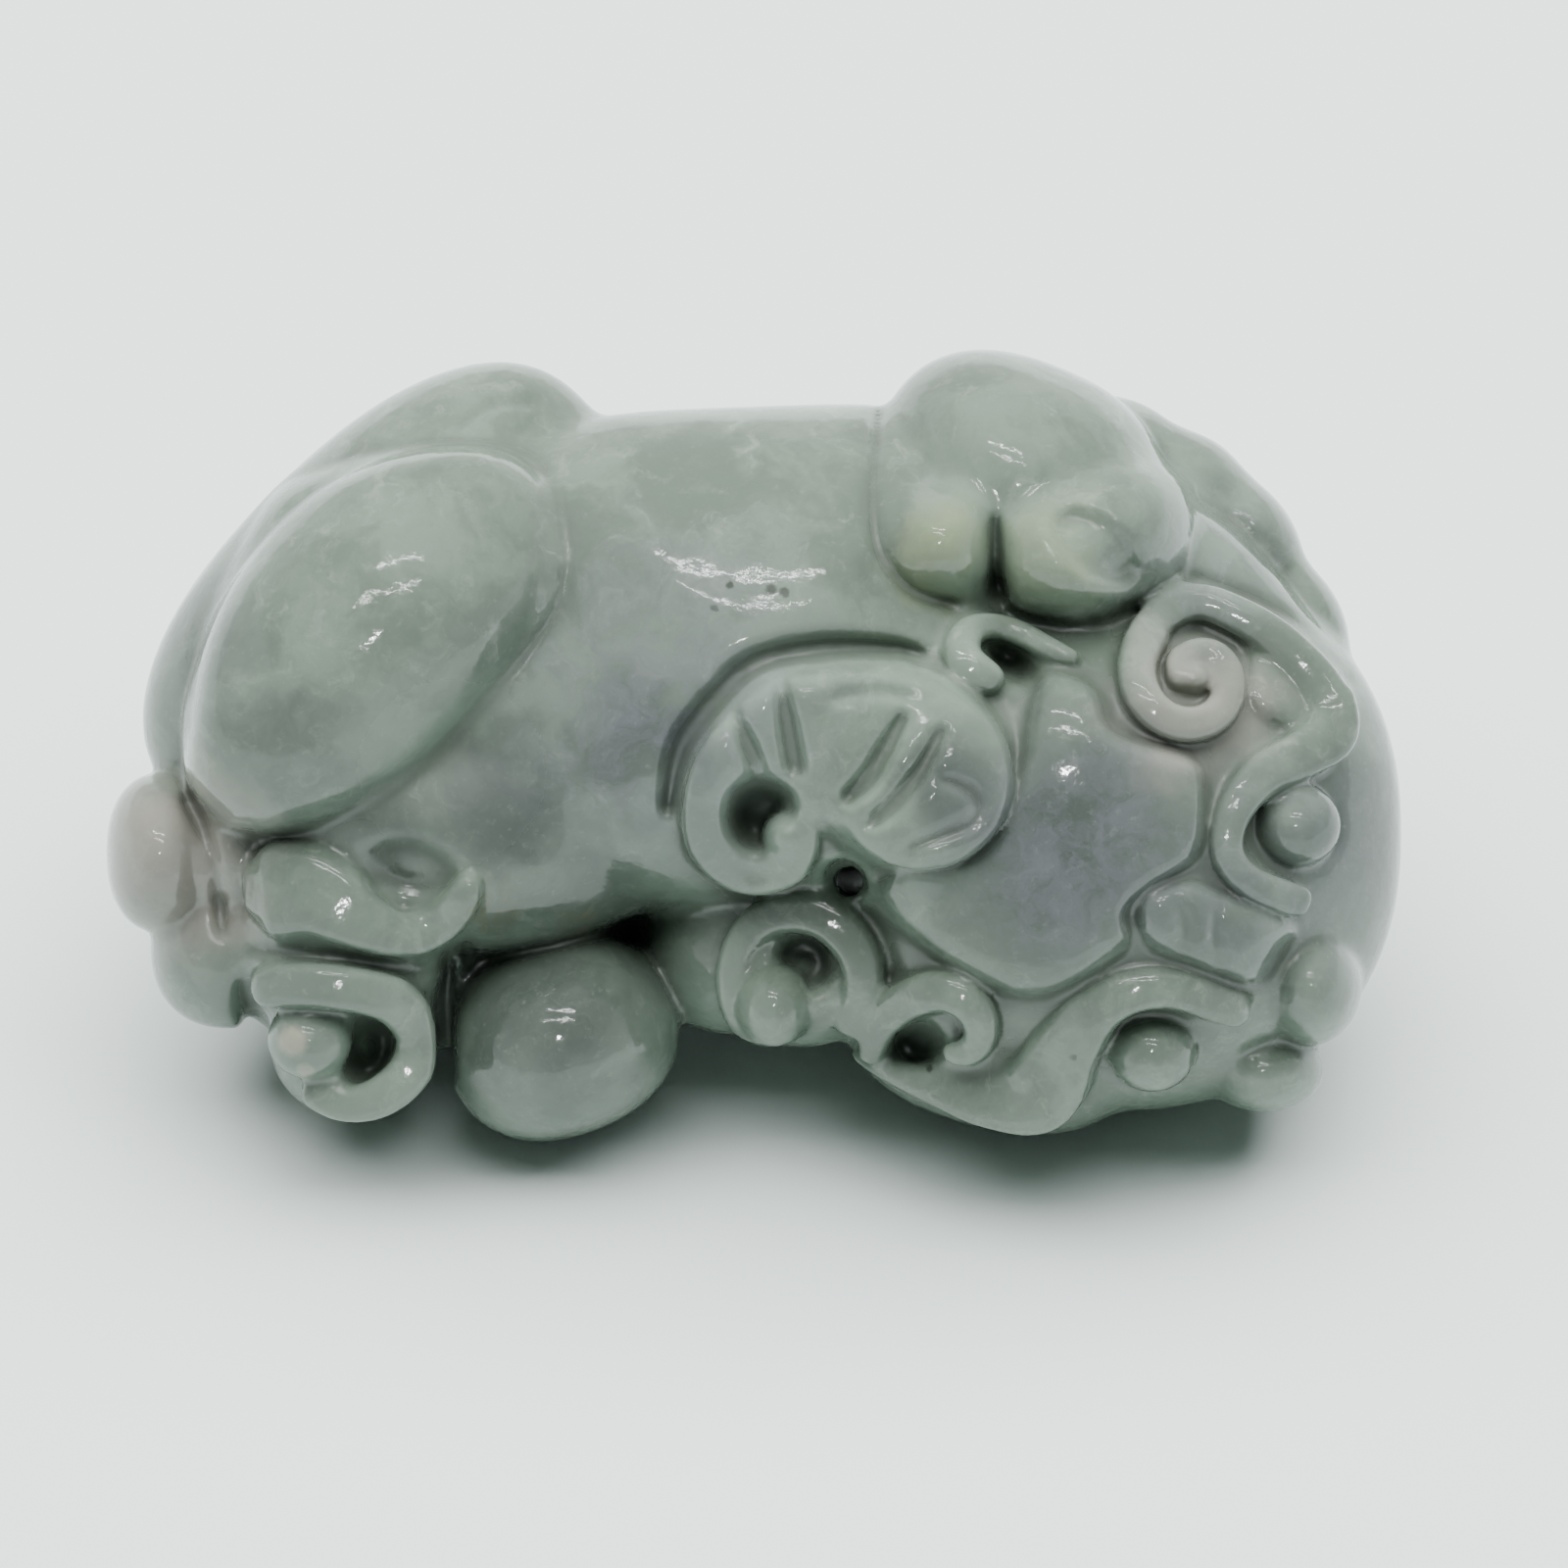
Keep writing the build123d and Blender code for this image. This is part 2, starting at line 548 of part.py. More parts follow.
def plane_quadrics(corners, triangles):
    """For each corner, the squared distance to the planes round it as a 4 by 4 form."""
    a, b, c = (corners[triangles[:, n]] for n in range(3))
    normal = np.cross(b - a, c - a)
    area = np.linalg.norm(normal, axis=1, keepdims=True)
    normal = normal / np.maximum(area, 1e-12)
    plane = np.concatenate([normal, -(normal * a).sum(axis=1, keepdims=True)], axis=1)
    form = area[:, :, None] * plane[:, :, None] * plane[:, None, :]
    out = np.zeros((len(corners), 4, 4))
    for n in range(3):
        np.add.at(out, triangles[:, n], form)
    return out


def best_place(form, a, b):
    """Where to join two corners with the least change, and the change."""
    middle = (a + b) / 2
    pull = form[:3, :3] + np.eye(3) * MIDDLE_PULL * (1e-6 + np.trace(form[:3, :3]))
    rest = -(form[:3, 3] + form[:3, :3] @ middle)
    place = middle + np.linalg.solve(pull, rest)
    if (place - middle) @ (place - middle) > (a - b) @ (a - b):
        place = middle
    change = place @ form[:3, :3] @ place + 2 * form[:3, 3] @ place + form[3, 3]
    return place, change + LONG_EDGE_COST * ((a - b) @ (a - b)) ** 2


def simplified(corners, triangles, most):
    """A surface with at most a number of triangles, its flattest edges joined first."""
    corners = corners.copy()
    forms = plane_quadrics(corners, triangles)
    faces = {n: tuple(int(x) for x in face) for n, face in enumerate(triangles)}
    around = [set() for _ in corners]
    for n, face in faces.items():
        for corner in face:
            around[corner].add(n)
    stamp = [0] * len(corners)
    queue = []

    def offer(a, b):
        place, change = best_place(forms[a] + forms[b], corners[a], corners[b])
        heapq.heappush(queue, (change, a, b, stamp[a], stamp[b], tuple(place)))

    edges = {tuple(sorted((face[n], face[n - 1]))) for face in faces.values() for n in range(3)}
    for a, b in sorted(edges):
        offer(a, b)
    while queue and len(faces) > most:
        _, a, b, stamp_a, stamp_b, place = heapq.heappop(queue)
        if stamp[a] != stamp_a or stamp[b] != stamp_b:
            continue
        near_a = {corner for n in around[a] for corner in faces[n]} - {a}
        near_b = {corner for n in around[b] for corner in faces[n]} - {b}
        if len(near_a & near_b) != 2:
            continue
        shared = around[a] & around[b]
        kept = [n for n in (around[a] | around[b]) if n not in shared]
        before = corners[[faces[n] for n in kept]]
        after = before.copy()
        after[[[corner in (a, b) for corner in faces[n]] for n in kept]] = place
        old, new = (np.cross(x[:, 1] - x[:, 0], x[:, 2] - x[:, 0]) for x in (before, after))
        size = np.linalg.norm(new, axis=1)
        longest = np.linalg.norm(after - np.roll(after, 1, axis=1), axis=2).max(axis=1)
        if ((old * new).sum(axis=1) < MOST_TURN * np.linalg.norm(old, axis=1) * size).any():
            continue
        if (size < THINNEST * longest ** 2).any():
            continue
        for n in shared:
            for corner in faces.pop(n):
                around[corner].discard(n)
        for n in around[b]:
            faces[n] = tuple(a if corner == b else corner for corner in faces[n])
        around[a] |= around[b]
        around[b] = set()
        stamp[a] += 1
        stamp[b] += 1
        corners[a] = place
        forms[a] = forms[a] + forms[b]
        for corner in {corner for n in around[a] for corner in faces[n]} - {a}:
            offer(a, corner)
    kept = np.array(list(faces.values()))
    used, order = np.unique(kept, return_inverse=True)
    return corners[used], order.reshape(-1, 3)


def as_it_lies(points):
    """Points of the animal's frame, rolled by LEAN as the stone lies."""
    lean = math.radians(LEAN)
    u, v, w = points.T
    return np.stack([u, v * math.sin(lean) - w * math.cos(lean),
                     v * math.cos(lean) + w * math.sin(lean)], axis=1)


corners, triangles = simplified(*facets(), MOST_TRIANGLES)
lying = as_it_lies(corners)
set_down = np.array([-(lying[:, 0].min() + lying[:, 0].max()) / 2,
                     -(lying[:, 1].min() + lying[:, 1].max()) / 2, -lying[:, 2].min()])
lying = lying + set_down
flats = [Face(Wire.make_polygon([Vector(*lying[n]) for n in triangle]))
         for triangle in triangles]
stone = Solid(Shell(flats))

ends = np.array([[along * LENGTH / 1000, CORD_HOLE_ACROSS * WIDTH / 1000, level * DEPTH / 1000]
                 for along, level in ((CORD_HOLE_TOP_ALONG, CORD_HOLE_TOP_LEVEL),
                                      (CORD_HOLE_FOOT_ALONG, CORD_HOLE_FOOT_LEVEL))])
top, foot = as_it_lies(ends) + set_down
way_out = Vector(*(top - foot)).normalized()


def drilled(start, direction, radius, length):
    """A round cut from a start point along a direction."""
    return Solid.make_cylinder(radius, length, Plane(origin=start, z_dir=direction))


bore_length = float(np.linalg.norm(top - foot))
stone = stone.cut(drilled(Vector(*foot), way_out, CORD_HOLE_RADIUS, bore_length),
                  drilled(Vector(*top), way_out, CORD_HOLE_MOUTH_RADIUS, DEPTH),
                  drilled(Vector(*foot), -way_out, CORD_HOLE_MOUTH_RADIUS, DEPTH))

os.makedirs("parts", exist_ok=True)
export_step(stone, "parts/jade_pixiu.step", write_pcurves=False)
print("triangles", len(triangles), "volume in mm3", round(stone.volume, 1))
print("the animal's frame starts at", [round(float(x), 3) for x in set_down])
print("cord hole from", [round(float(x), 3) for x in foot], "to", [round(float(x), 3) for x in top])
print("cord hole way out", way_out, "length", round(bore_length, 3))
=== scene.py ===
"""Carved jade pixiu pendant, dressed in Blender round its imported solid.

The animal is drawn in its own frame, in millimetres: u runs from the tail to the head,
v from its right side to its left side and w from the hidden flank to the flank that
shows. Tables hold thousandths of the stone's length (along, long), width (across,
wide, half widths) and depth (level, deep). The stone lies rolled by its lean.
"""

import logging
import math
from dataclasses import dataclass
from enum import Enum
from typing import Any, Iterable, Union

import bpy
import numpy as np
import openvdb
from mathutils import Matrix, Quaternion, Vector


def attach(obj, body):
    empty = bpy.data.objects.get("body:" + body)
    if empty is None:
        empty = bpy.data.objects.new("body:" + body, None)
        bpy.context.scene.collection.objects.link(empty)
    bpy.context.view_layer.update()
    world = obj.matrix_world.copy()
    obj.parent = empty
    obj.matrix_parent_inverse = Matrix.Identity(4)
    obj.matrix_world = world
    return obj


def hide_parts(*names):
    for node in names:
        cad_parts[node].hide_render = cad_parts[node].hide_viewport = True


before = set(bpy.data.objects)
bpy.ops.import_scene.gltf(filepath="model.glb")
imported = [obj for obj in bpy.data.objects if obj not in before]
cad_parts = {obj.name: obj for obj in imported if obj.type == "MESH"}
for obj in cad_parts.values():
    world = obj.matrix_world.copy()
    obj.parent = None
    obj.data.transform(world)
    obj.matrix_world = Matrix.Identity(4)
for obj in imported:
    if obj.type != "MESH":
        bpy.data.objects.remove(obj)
log = logging.getLogger("pixiu")

Number = Union["Value", float]
# Farther from the surface than any voxel is, in millimetres.
FAR = 100.0


@dataclass(frozen=True)
class StoneSizes:
    """Driving sizes of the stone, in millimetres and degrees.

    The ends of the cord hole are in the tables' thousandths. The relief of the flank
    that shows fades in from fade_level over fade_run, in shares of the depth.
    """

    length: float = 52.0
    width: float = 31.8
    depth: float = 22.0
    lean: float = 45.0
    set_down: tuple[float, float, float] = (-0.008, -0.725, 13.885)
    blend: float = 0.8
    hole_across: float = -167.0
    hole_top: tuple[float, float] = (71.0, 212.0)
    hole_foot: tuple[float, float] = (115.0, -530.0)
    hole_radius: float = 0.6
    mouth_radius: float = 0.9
    fade_level: float = -0.2
    fade_run: float = 0.15

    def place(self, along: float, across: float) -> tuple[float, float]:
        """A place of the tables, in millimetres."""
        return along * self.length / 1000, across * self.width / 1000

    def lying(self, points: np.ndarray) -> np.ndarray:
        """Points of the animal's frame in the row frame, still in millimetres.

        Args:
            points: Rows of u, v and w.

        Returns:
            Rows of x, y and z.
        """
        lean = math.radians(self.lean)
        u, v, w = points.T
        rows = [u, v * math.sin(lean) - w * math.cos(lean),
                v * math.cos(lean) + w * math.sin(lean)]
        return np.stack(rows, axis=1) + np.array(self.set_down)


class Flank(Enum):
    """The two flanks that lines are cut into."""

    SHOWN = "shown"
    HIDDEN = "hidden"


class Stage(Enum):
    """The order of the carver's work."""

    MASSES = "masses"
    PLATES = "plates"
    HOLLOWS = "hollows"
    RIBBONS = "ribbons"
    LINES = "lines"


@dataclass(frozen=True)
class Mass:
    """A rounded mass. Fullness 2 is an ellipsoid and more is boxier in plan."""

    name: str
    along: float
    across: float
    level: float
    long: float
    wide: float
    deep: float
    turn: float = 0.0
    fullness: float = 2.2
    soft: float = 1.0
    rests: bool = False

    def radii(self, sizes: StoneSizes) -> tuple[float, float, float]:
        """Its half lengths in millimetres."""
        return (self.long * sizes.length / 1000, self.wide * sizes.width / 1000,
                self.deep * sizes.depth / 1000)

    def reach(self, sizes: StoneSizes, heading: float) -> float:
        """How far it reaches from its middle along a heading of the plan.

        Args:
            sizes: The stone's sizes.
            heading: Angle in degrees from the u axis.

        Returns:
            The reach in millimetres.
        """
        long, wide, _ = self.radii(sizes)
        off = math.radians(heading - self.turn)
        power = self.fullness / (self.fullness - 1)
        reach = abs(math.cos(off) * long) ** power + abs(math.sin(off) * wide) ** power
        return reach ** (1 / power)

    def lowest(self, sizes: StoneSizes, level: float) -> float:
        """Height of its lowest point as the stone lies, before the stone is set down."""
        lean = math.radians(sizes.lean)
        drop = math.hypot(self.reach(sizes, 90) * math.cos(lean),
                          self.radii(sizes)[2] * math.sin(lean))
        return sizes.place(0, self.across)[1] * math.cos(lean) + level * math.sin(lean) - drop


@dataclass(frozen=True)
class Plate:
    """A raised plate with a closed outline and a rounded edge."""

    name: str
    rise: float
    edge: float
    outline: tuple[tuple[float, float], ...]


@dataclass(frozen=True)
class Ball:
    """A dome that stands out of its ground."""

    name: str
    along: float
    across: float
    long: float
    wide: float
    rise: float
    tall: float
    turn: float = 0.0
    soft: float = 0.25


@dataclass(frozen=True)
class Ribbon:
    """A rounded band along a path of (along, across, half width)."""

    name: str
    rise: float
    flatness: float
    places: tuple[tuple[float, float, float], ...]


@dataclass(frozen=True)
class Scroll:
    """A rounded band wound inwards at an even rate from its outer end."""

    name: str
    along: float
    across: float
    outer: float
    inner: float
    start: float
    turns: float
    half_width: float
    tip_width: float
    rise: float
    flatness: float
    steps: int = 48

    def places(self, sizes: StoneSizes) -> tuple[tuple[float, float, float], ...]:
        """Places along the scroll, from its outer end inwards."""
        rows = []
        for share in np.linspace(0, 1, self.steps):
            radius = self.outer + share * (self.inner - self.outer)
            angle = math.radians(self.start + 360 * self.turns * share)
            along = self.along + radius * math.cos(angle) * sizes.width / sizes.length
            half = self.half_width + share * (self.tip_width - self.half_width)
            rows.append((along, self.across + radius * math.sin(angle), half))
        return tuple(rows)


@dataclass(frozen=True)
class Hollow:
    """An oval hollow with a flat floor."""

    name: str
    along: float
    across: float
    long: float
    wide: float
    turn: float
    depth: float
    wall: float = 1.6


@dataclass(frozen=True)
class Cut:
    """A cut line along a path of (along, across, half width)."""

    name: str
    depth: float
    places: tuple[tuple[float, float, float], ...]
    flank: Flank = Flank.SHOWN
    wall: float = 1.5


def eased(share: np.ndarray) -> np.ndarray:
    """A share from 0 to 1 with soft ends."""
    share = np.clip(share, 0.0, 1.0)
    return share * share * (3 - 2 * share)


def smooth_path(places: Iterable[tuple[float, ...]], closed: bool = False,
                steps: int = 6) -> np.ndarray:
    """Points of a smooth curve through the places.

    Args:
        places: Rows of numbers that are all run along.
        closed: Whether the last place joins the first.
        steps: Points for each span.

    Returns:
        The rows of the curve.
    """
    rows = np.array(list(places), dtype=float)
    count = len(rows)
    out = []
    for i in range(count if closed else count - 1):
        if closed:
            a, b, c, d = (rows[(i + k) % count] for k in (-1, 0, 1, 2))
        else:
            a, b, c, d = (rows[min(max(i + k, 0), count - 1)] for k in (-1, 0, 1, 2))
        for s in np.arange(steps) / steps:
            out.append(0.5 * (2 * b + (c - a) * s + (2 * a - 5 * b + 4 * c - d) * s ** 2
                              + (3 * b - a - 3 * c + d) * s ** 3))
    if not closed:
        out.append(rows[-1])
    return np.array(out)


class Value:
    """A number socket; arithmetic on it adds Math nodes."""

    def __init__(self, nodes: "NodeMaker", socket: bpy.types.NodeSocket) -> None:
        """Wraps an output socket."""
        self.nodes = nodes
        self.socket = socket

    def _math(self, operation: str, *values: Number) -> "Value":
        """Adds a Math node for an operation on values."""
        node = self.nodes.add("ShaderNodeMath", {"operation": operation},
                              dict(enumerate(values)))
        return Value(self.nodes, node.outputs[0])

    def __add__(self, other: Number) -> "Value":
        """The sum."""
        return self._math("ADD", self, other)

    __radd__ = __add__

    def __sub__(self, other: Number) -> "Value":
        """The difference."""
        return self._math("SUBTRACT", self, other)

    def __rsub__(self, other: Number) -> "Value":
        """The difference the other way round."""
        return self._math("SUBTRACT", other, self)

    def __mul__(self, other: Number) -> "Value":
        """The product."""
        return self._math("MULTIPLY", self, other)

    __rmul__ = __mul__

    def highest(self, other: Number) -> "Value":
        """The larger of two."""
        return self._math("MAXIMUM", self, other)

    def eased(self, start: float, end: float) -> "Value":
        """0 at start and 1 at end, with soft ends."""
        node = self.nodes.add("ShaderNodeMapRange", {"interpolation_type": "SMOOTHSTEP"},
                              {"Value": self, "From Min": start, "From Max": end})
        return Value(self.nodes, node.outputs["Result"])


class NodeMaker:
    """Adds the nodes of one tree."""

    def __init__(self, tree: bpy.types.NodeTree) -> None:
        """Empties the tree that it will fill."""
        self.tree = tree
        tree.nodes.clear()

    def add(self, kind: str, settings: dict[str, Any] | None = None,
            values: dict[str | int, Any] | None = None) -> bpy.types.Node:
        """Adds one node.

        Args:
            kind: The node's type.
            settings: Its own settings, set first.
            values: A value, a socket or a Value for each of its inputs.

        Returns:
            The node.
        """
        node = self.tree.nodes.new(kind)
        for name, setting in (settings or {}).items():
            setattr(node, name, setting)
        for name, value in (values or {}).items():
            target = node.inputs[name]
            if isinstance(value, Value):
                value = value.socket
            if isinstance(value, bpy.types.NodeSocket):
                self.tree.links.new(value, target)
            else:
                target.default_value = value
        return node

    def mixed(self, share: Number, a: Any, b: Any) -> bpy.types.NodeSocket:
        """Two colours mixed by a share of the second."""
        node = self.add("ShaderNodeMix", {"data_type": "RGBA"}, {0: share, 6: a, 7: b})
        return node.outputs[2]

    def moved(self, place: bpy.types.NodeSocket, scale: float | tuple[float, ...],
              offset: tuple[float, ...]) -> bpy.types.NodeSocket:
        """A vector scaled and then moved by an offset."""
        scale = scale if isinstance(scale, tuple) else (scale,) * 3
        node = self.add("ShaderNodeVectorMath", {"operation": "MULTIPLY_ADD"},
                        {0: place, 1: scale, 2: offset})
        return node.outputs["Vector"]


class RibbonSweep:
    """Sweeps a section with rounded corners along a path by a Geometry Nodes tree.

    Attributes:
        width: Width of the section for a half width of 1.
        corner: Radius of its corners.
        corner_steps: Spans of each corner.
    """

    width: float = 2.0
    corner: float = 0.5
    corner_steps: int = 6

    def __init__(self) -> None:
        """Builds the tree once for all the ribbons."""
        tree = bpy.data.node_groups.new("Ribbon sweep", "GeometryNodeTree")
        interface = tree.interface
        interface.new_socket("Path", in_out="INPUT", socket_type="NodeSocketGeometry")
        flatness = interface.new_socket("Flatness", in_out="INPUT",
                                        socket_type="NodeSocketFloat")
        finish = interface.new_socket("Finish", in_out="INPUT",
                                      socket_type="NodeSocketMaterial")
        interface.new_socket("Ribbon", in_out="OUTPUT", socket_type="NodeSocketGeometry")
        self.tree = tree
        self.flatness = flatness.identifier
        self.finish = finish.identifier
        nodes = NodeMaker(tree)
        given = nodes.add("NodeGroupInput").outputs
        square = nodes.add("GeometryNodeCurvePrimitiveQuadrilateral", {},
                           {"Width": self.width, "Height": self.width})
        rounding = nodes.add("GeometryNodeFilletCurve", {"mode": "POLY"}, {
            "Curve": square.outputs["Curve"], "Count": self.corner_steps,
            "Radius": self.corner})
        shape = nodes.add("ShaderNodeCombineXYZ", {},
                          {"X": 1.0, "Y": given["Flatness"], "Z": 1.0})
        section = nodes.add("GeometryNodeTransform", {}, {
            "Geometry": rounding.outputs["Curve"], "Scale": shape.outputs["Vector"]})
        upright = nodes.add("GeometryNodeSetCurveNormal", {"mode": "Z_UP"},
                            {"Curve": given["Path"]})
        radius = nodes.add("GeometryNodeInputRadius")
        sweep = nodes.add("GeometryNodeCurveToMesh", {}, {
            "Curve": upright.outputs["Curve"], "Scale": radius.outputs["Radius"],
            "Profile Curve": section.outputs["Geometry"], "Fill Caps": True})
        real = nodes.add("GeometryNodeRealizeInstances", {},
                         {"Geometry": sweep.outputs["Mesh"]})
        dress = nodes.add("GeometryNodeSetMaterial", {}, {
            "Geometry": real.outputs["Geometry"], "Material": given["Finish"]})
        nodes.add("NodeGroupOutput", {}, {"Ribbon": dress.outputs["Geometry"]})

    def sweep(self, name: str, path: np.ndarray, radii: np.ndarray, flatness: float,
              finish: bpy.types.Material) -> tuple[np.ndarray, np.ndarray]:
        """Sweeps one ribbon.

        Args:
            name: The ribbon's name.
            path: Rows of u, v and w along its middle.
            radii: Its half width at each row.
            flatness: Half height of its section over its half width.
            finish: The material that the tree sets.

        Returns:
            Its corners and its triangles.
        """
        curve = bpy.data.curves.new(name, "CURVE")
        curve.dimensions = "3D"
        spline = curve.splines.new("POLY")
        spline.points.add(len(path) - 1)
        for point, place, half in zip(spline.points, path, radii):
            point.co = (*place, 1.0)
            point.radius = half
        holder = bpy.data.objects.new(name, curve)
        bpy.context.collection.objects.link(holder)
        modifier = holder.modifiers.new("Ribbon sweep", "NODES")
        modifier.node_group = self.tree
        modifier[self.flatness] = flatness
        modifier[self.finish] = finish
        bpy.context.view_layer.update()
        graph = bpy.context.evaluated_depsgraph_get()
        mesh = bpy.data.meshes.new_from_object(holder.evaluated_get(graph))
        mesh.calc_loop_triangles()
        corners = np.empty(len(mesh.vertices) * 3, np.float32)
        mesh.vertices.foreach_get("co", corners)
        triangles = np.empty(len(mesh.loop_triangles) * 3, np.int32)
        mesh.loop_triangles.foreach_get("vertices", triangles)
        holder.modifiers.remove(modifier)
        bpy.data.objects.remove(holder)
        bpy.data.curves.remove(curve)
        bpy.data.meshes.remove(mesh)
        return corners.reshape(-1, 3), triangles.reshape(-1, 3).astype(np.uint32)


class Sculpture:
    """A block of voxels that holds the distance to the carved surface, in millimetres.

    Attributes:
        low: The block's lower corner.
        high: The block's upper corner.
        margin: Room round a mass, within which it blends.
        band: Voxels each way of the surface over which its distance is known.
        rim: How far the ground's levels reach past the stone's outline.
        thinnest: Least half width of a ribbon.
        end_run: Run over which a ribbon's end rounds off, in half widths.
        end_least: Least share of that run, which keeps the tip blunt.
        ground_rows: Rows each way over which a ribbon's ground is averaged.
        ribbon_seam: Softness of the seam between a ribbon and its ground.
        hole_room: Room round the cord hole along u and v.
        polish_depth: Distance from the surface at which polishing caps the field.
        ridge_reach: Half side of the cube that tells ridges from recesses.
    """

    low: tuple[float, float, float] = (-28.0, -18.0, -16.0)
    high: tuple[float, float, float] = (28.0, 18.0, 13.0)
    margin: float = 2.0
    band: float = 3.0
    rim: float = 2.5
    thinnest: float = 0.1
    end_run: float = 0.55
    end_least: float = 0.3
    ground_rows: int = 4
    ribbon_seam: float = 0.22
    hole_room: tuple[float, float] = (3.0, 2.0)
    polish_depth: float = 1.5
    ridge_reach: float = 0.7

    def __init__(self, sizes: StoneSizes, voxel: float) -> None:
        """Makes an empty block.

        Args:
            sizes: The stone's sizes.
            voxel: Edge of a voxel in millimetres.
        """
        self.sizes = sizes
        self.voxel = voxel
        self.first = [math.floor(low / voxel) for low in self.low]
        counts = [math.ceil(high / voxel) - first
                  for high, first in zip(self.high, self.first)]
        self.axes = [(np.arange(count) + first).astype(np.float32) * np.float32(voxel)
                     for count, first in zip(counts, self.first)]
        self.field = np.full(counts, FAR, np.float32)
        self.plan = np.meshgrid(self.axes[0], self.axes[1], indexing="ij")
        self.ground_level = 0.0
        w = self.axes[2]
        self.shows = eased((w / sizes.depth - sizes.fade_level) / sizes.fade_run)

    def window(self, low: Iterable[float], high: Iterable[float]) -> tuple[slice, ...]:
        """The voxels between two corners."""
        out = []
        for a, b, first, count in zip(low, high, self.first, self.field.shape):
            start = max(math.floor(a / self.voxel) - first, 0)
            out.append(slice(start, min(math.ceil(b / self.voxel) - first + 1, count)))
        return tuple(out)

    def join(self, window: tuple[slice, ...], apart: np.ndarray, soft: float) -> None:
        """Adds a form, given as distances in a window, with a rounded seam."""
        here = self.field[window]
        near = np.maximum(soft - np.abs(here - apart), 0) / soft
        self.field[window] = np.minimum(here, apart) - near * near * soft / 4

    def turned(self, u: np.ndarray, v: np.ndarray, place: tuple[float, float],
               turn: float) -> tuple[np.ndarray, np.ndarray]:
        """Coordinates about a place, turned in the plan."""
        angle = math.radians(turn)
        du, dv = u - place[0], v - place[1]
        return (du * math.cos(angle) + dv * math.sin(angle),
                dv * math.cos(angle) - du * math.sin(angle))

    def add_mass(self, mass: Mass, level: float) -> None:
        """Adds a rounded mass.

        Args:
            mass: The mass.
            level: Where its middle lies along w, in millimetres.
        """
        sizes = self.sizes
        radii = mass.radii(sizes)
        middle = np.array([*sizes.place(mass.along, mass.across), level])
        reach = np.array([mass.reach(sizes, 0), mass.reach(sizes, 90), radii[2]])
        window = self.window(middle - reach - self.margin, middle + reach + self.margin)
        u, v = (part[window[:2]] for part in self.plan)
        a, b = self.turned(u, v, middle[:2], mass.turn)
        across = [np.abs(a / radii[0]) + 1e-6, np.abs(b / radii[1]) + 1e-6]
        n = mass.fullness
        plan = (across[0] ** n + across[1] ** n) ** (1 / n)
        lean = sum(((s / plan) ** (n - 1) * plan / r) ** 2 for s, r in zip(across, radii))
        w = (self.axes[2][window[2]] - np.float32(level)) / np.float32(radii[2])
        reach = np.hypot(plan[:, :, None], w)
        slope = np.sqrt(lean[:, :, None] + (w / np.float32(radii[2])) ** 2)
        apart = ((reach - 1) * reach / slope).astype(np.float32)
        self.join(window, apart, mass.soft * sizes.blend)

    def top_levels(self) -> np.ndarray:
        """The level of the shown surface over the whole plan.

        Returns:
            A level for each place, with the empty places round the stone filled from
            their neighbours.
        """
        inside = self.field < 0
        some = inside.any(axis=2)
        last = inside.shape[2] - 1 - inside[:, :, ::-1].argmax(axis=2)
        last = np.minimum(last, inside.shape[2] - 2)
        i, j = np.indices(some.shape)
        lower, upper = self.field[i, j, last], self.field[i, j, last + 1]
        share = np.clip(lower / np.where(lower == upper, 1, lower - upper), 0, 1)
        levels = np.where(some, self.axes[2][last] + self.voxel * share, 0.0)
        known = some.astype(np.float64)
        for _ in range(round(self.rim / self.voxel)):
            weight, total = known.copy(), levels * known
            spread = total.copy()
            for axis in (0, 1):
                for step in (-1, 1):
                    spread += np.roll(total, step, axis)
                    weight += np.roll(known, step, axis)
            levels = np.where(known > 0, levels, spread / np.maximum(weight, 1))
            known = (weight > 0).astype(np.float64)
        return levels

    def softened(self, plan: np.ndarray, radius: float) -> np.ndarray:
        """A map of the plan, blurred over a radius in millimetres."""
        reach = max(round(radius / self.voxel), 1)
        for axis in (0, 1):
            for _ in range(2):
                room = [(reach, reach) if k == axis else (0, 0) for k in (0, 1)]
                total = np.cumsum(np.pad(plan, room, mode="edge"), axis=axis)
                total = np.concatenate([np.zeros_like(np.take(total, [0], axis)), total],
                                       axis)
                count = plan.shape[axis]
                ahead = np.take(total, np.arange(count) + 2 * reach + 1, axis)
                plan = (ahead - np.take(total, np.arange(count), axis)) / (2 * reach + 1)
        return plan

    def level_at(self, levels: np.ndarray, points: np.ndarray) -> np.ndarray:
        """Levels of a map at places of the plan, in millimetres."""
        i, j = (points[:, k] / self.voxel - self.first[k] for k in (0, 1))
        i = np.clip(i, 0, levels.shape[0] - 2)
        j = np.clip(j, 0, levels.shape[1] - 2)
        low_i, low_j = i.astype(int), j.astype(int)
        si, sj = i - low_i, j - low_j
        return ((1 - si) * (1 - sj) * levels[low_i, low_j]
                + si * (1 - sj) * levels[low_i + 1, low_j]
                + (1 - si) * sj * levels[low_i, low_j + 1]
                + si * sj * levels[low_i + 1, low_j + 1])

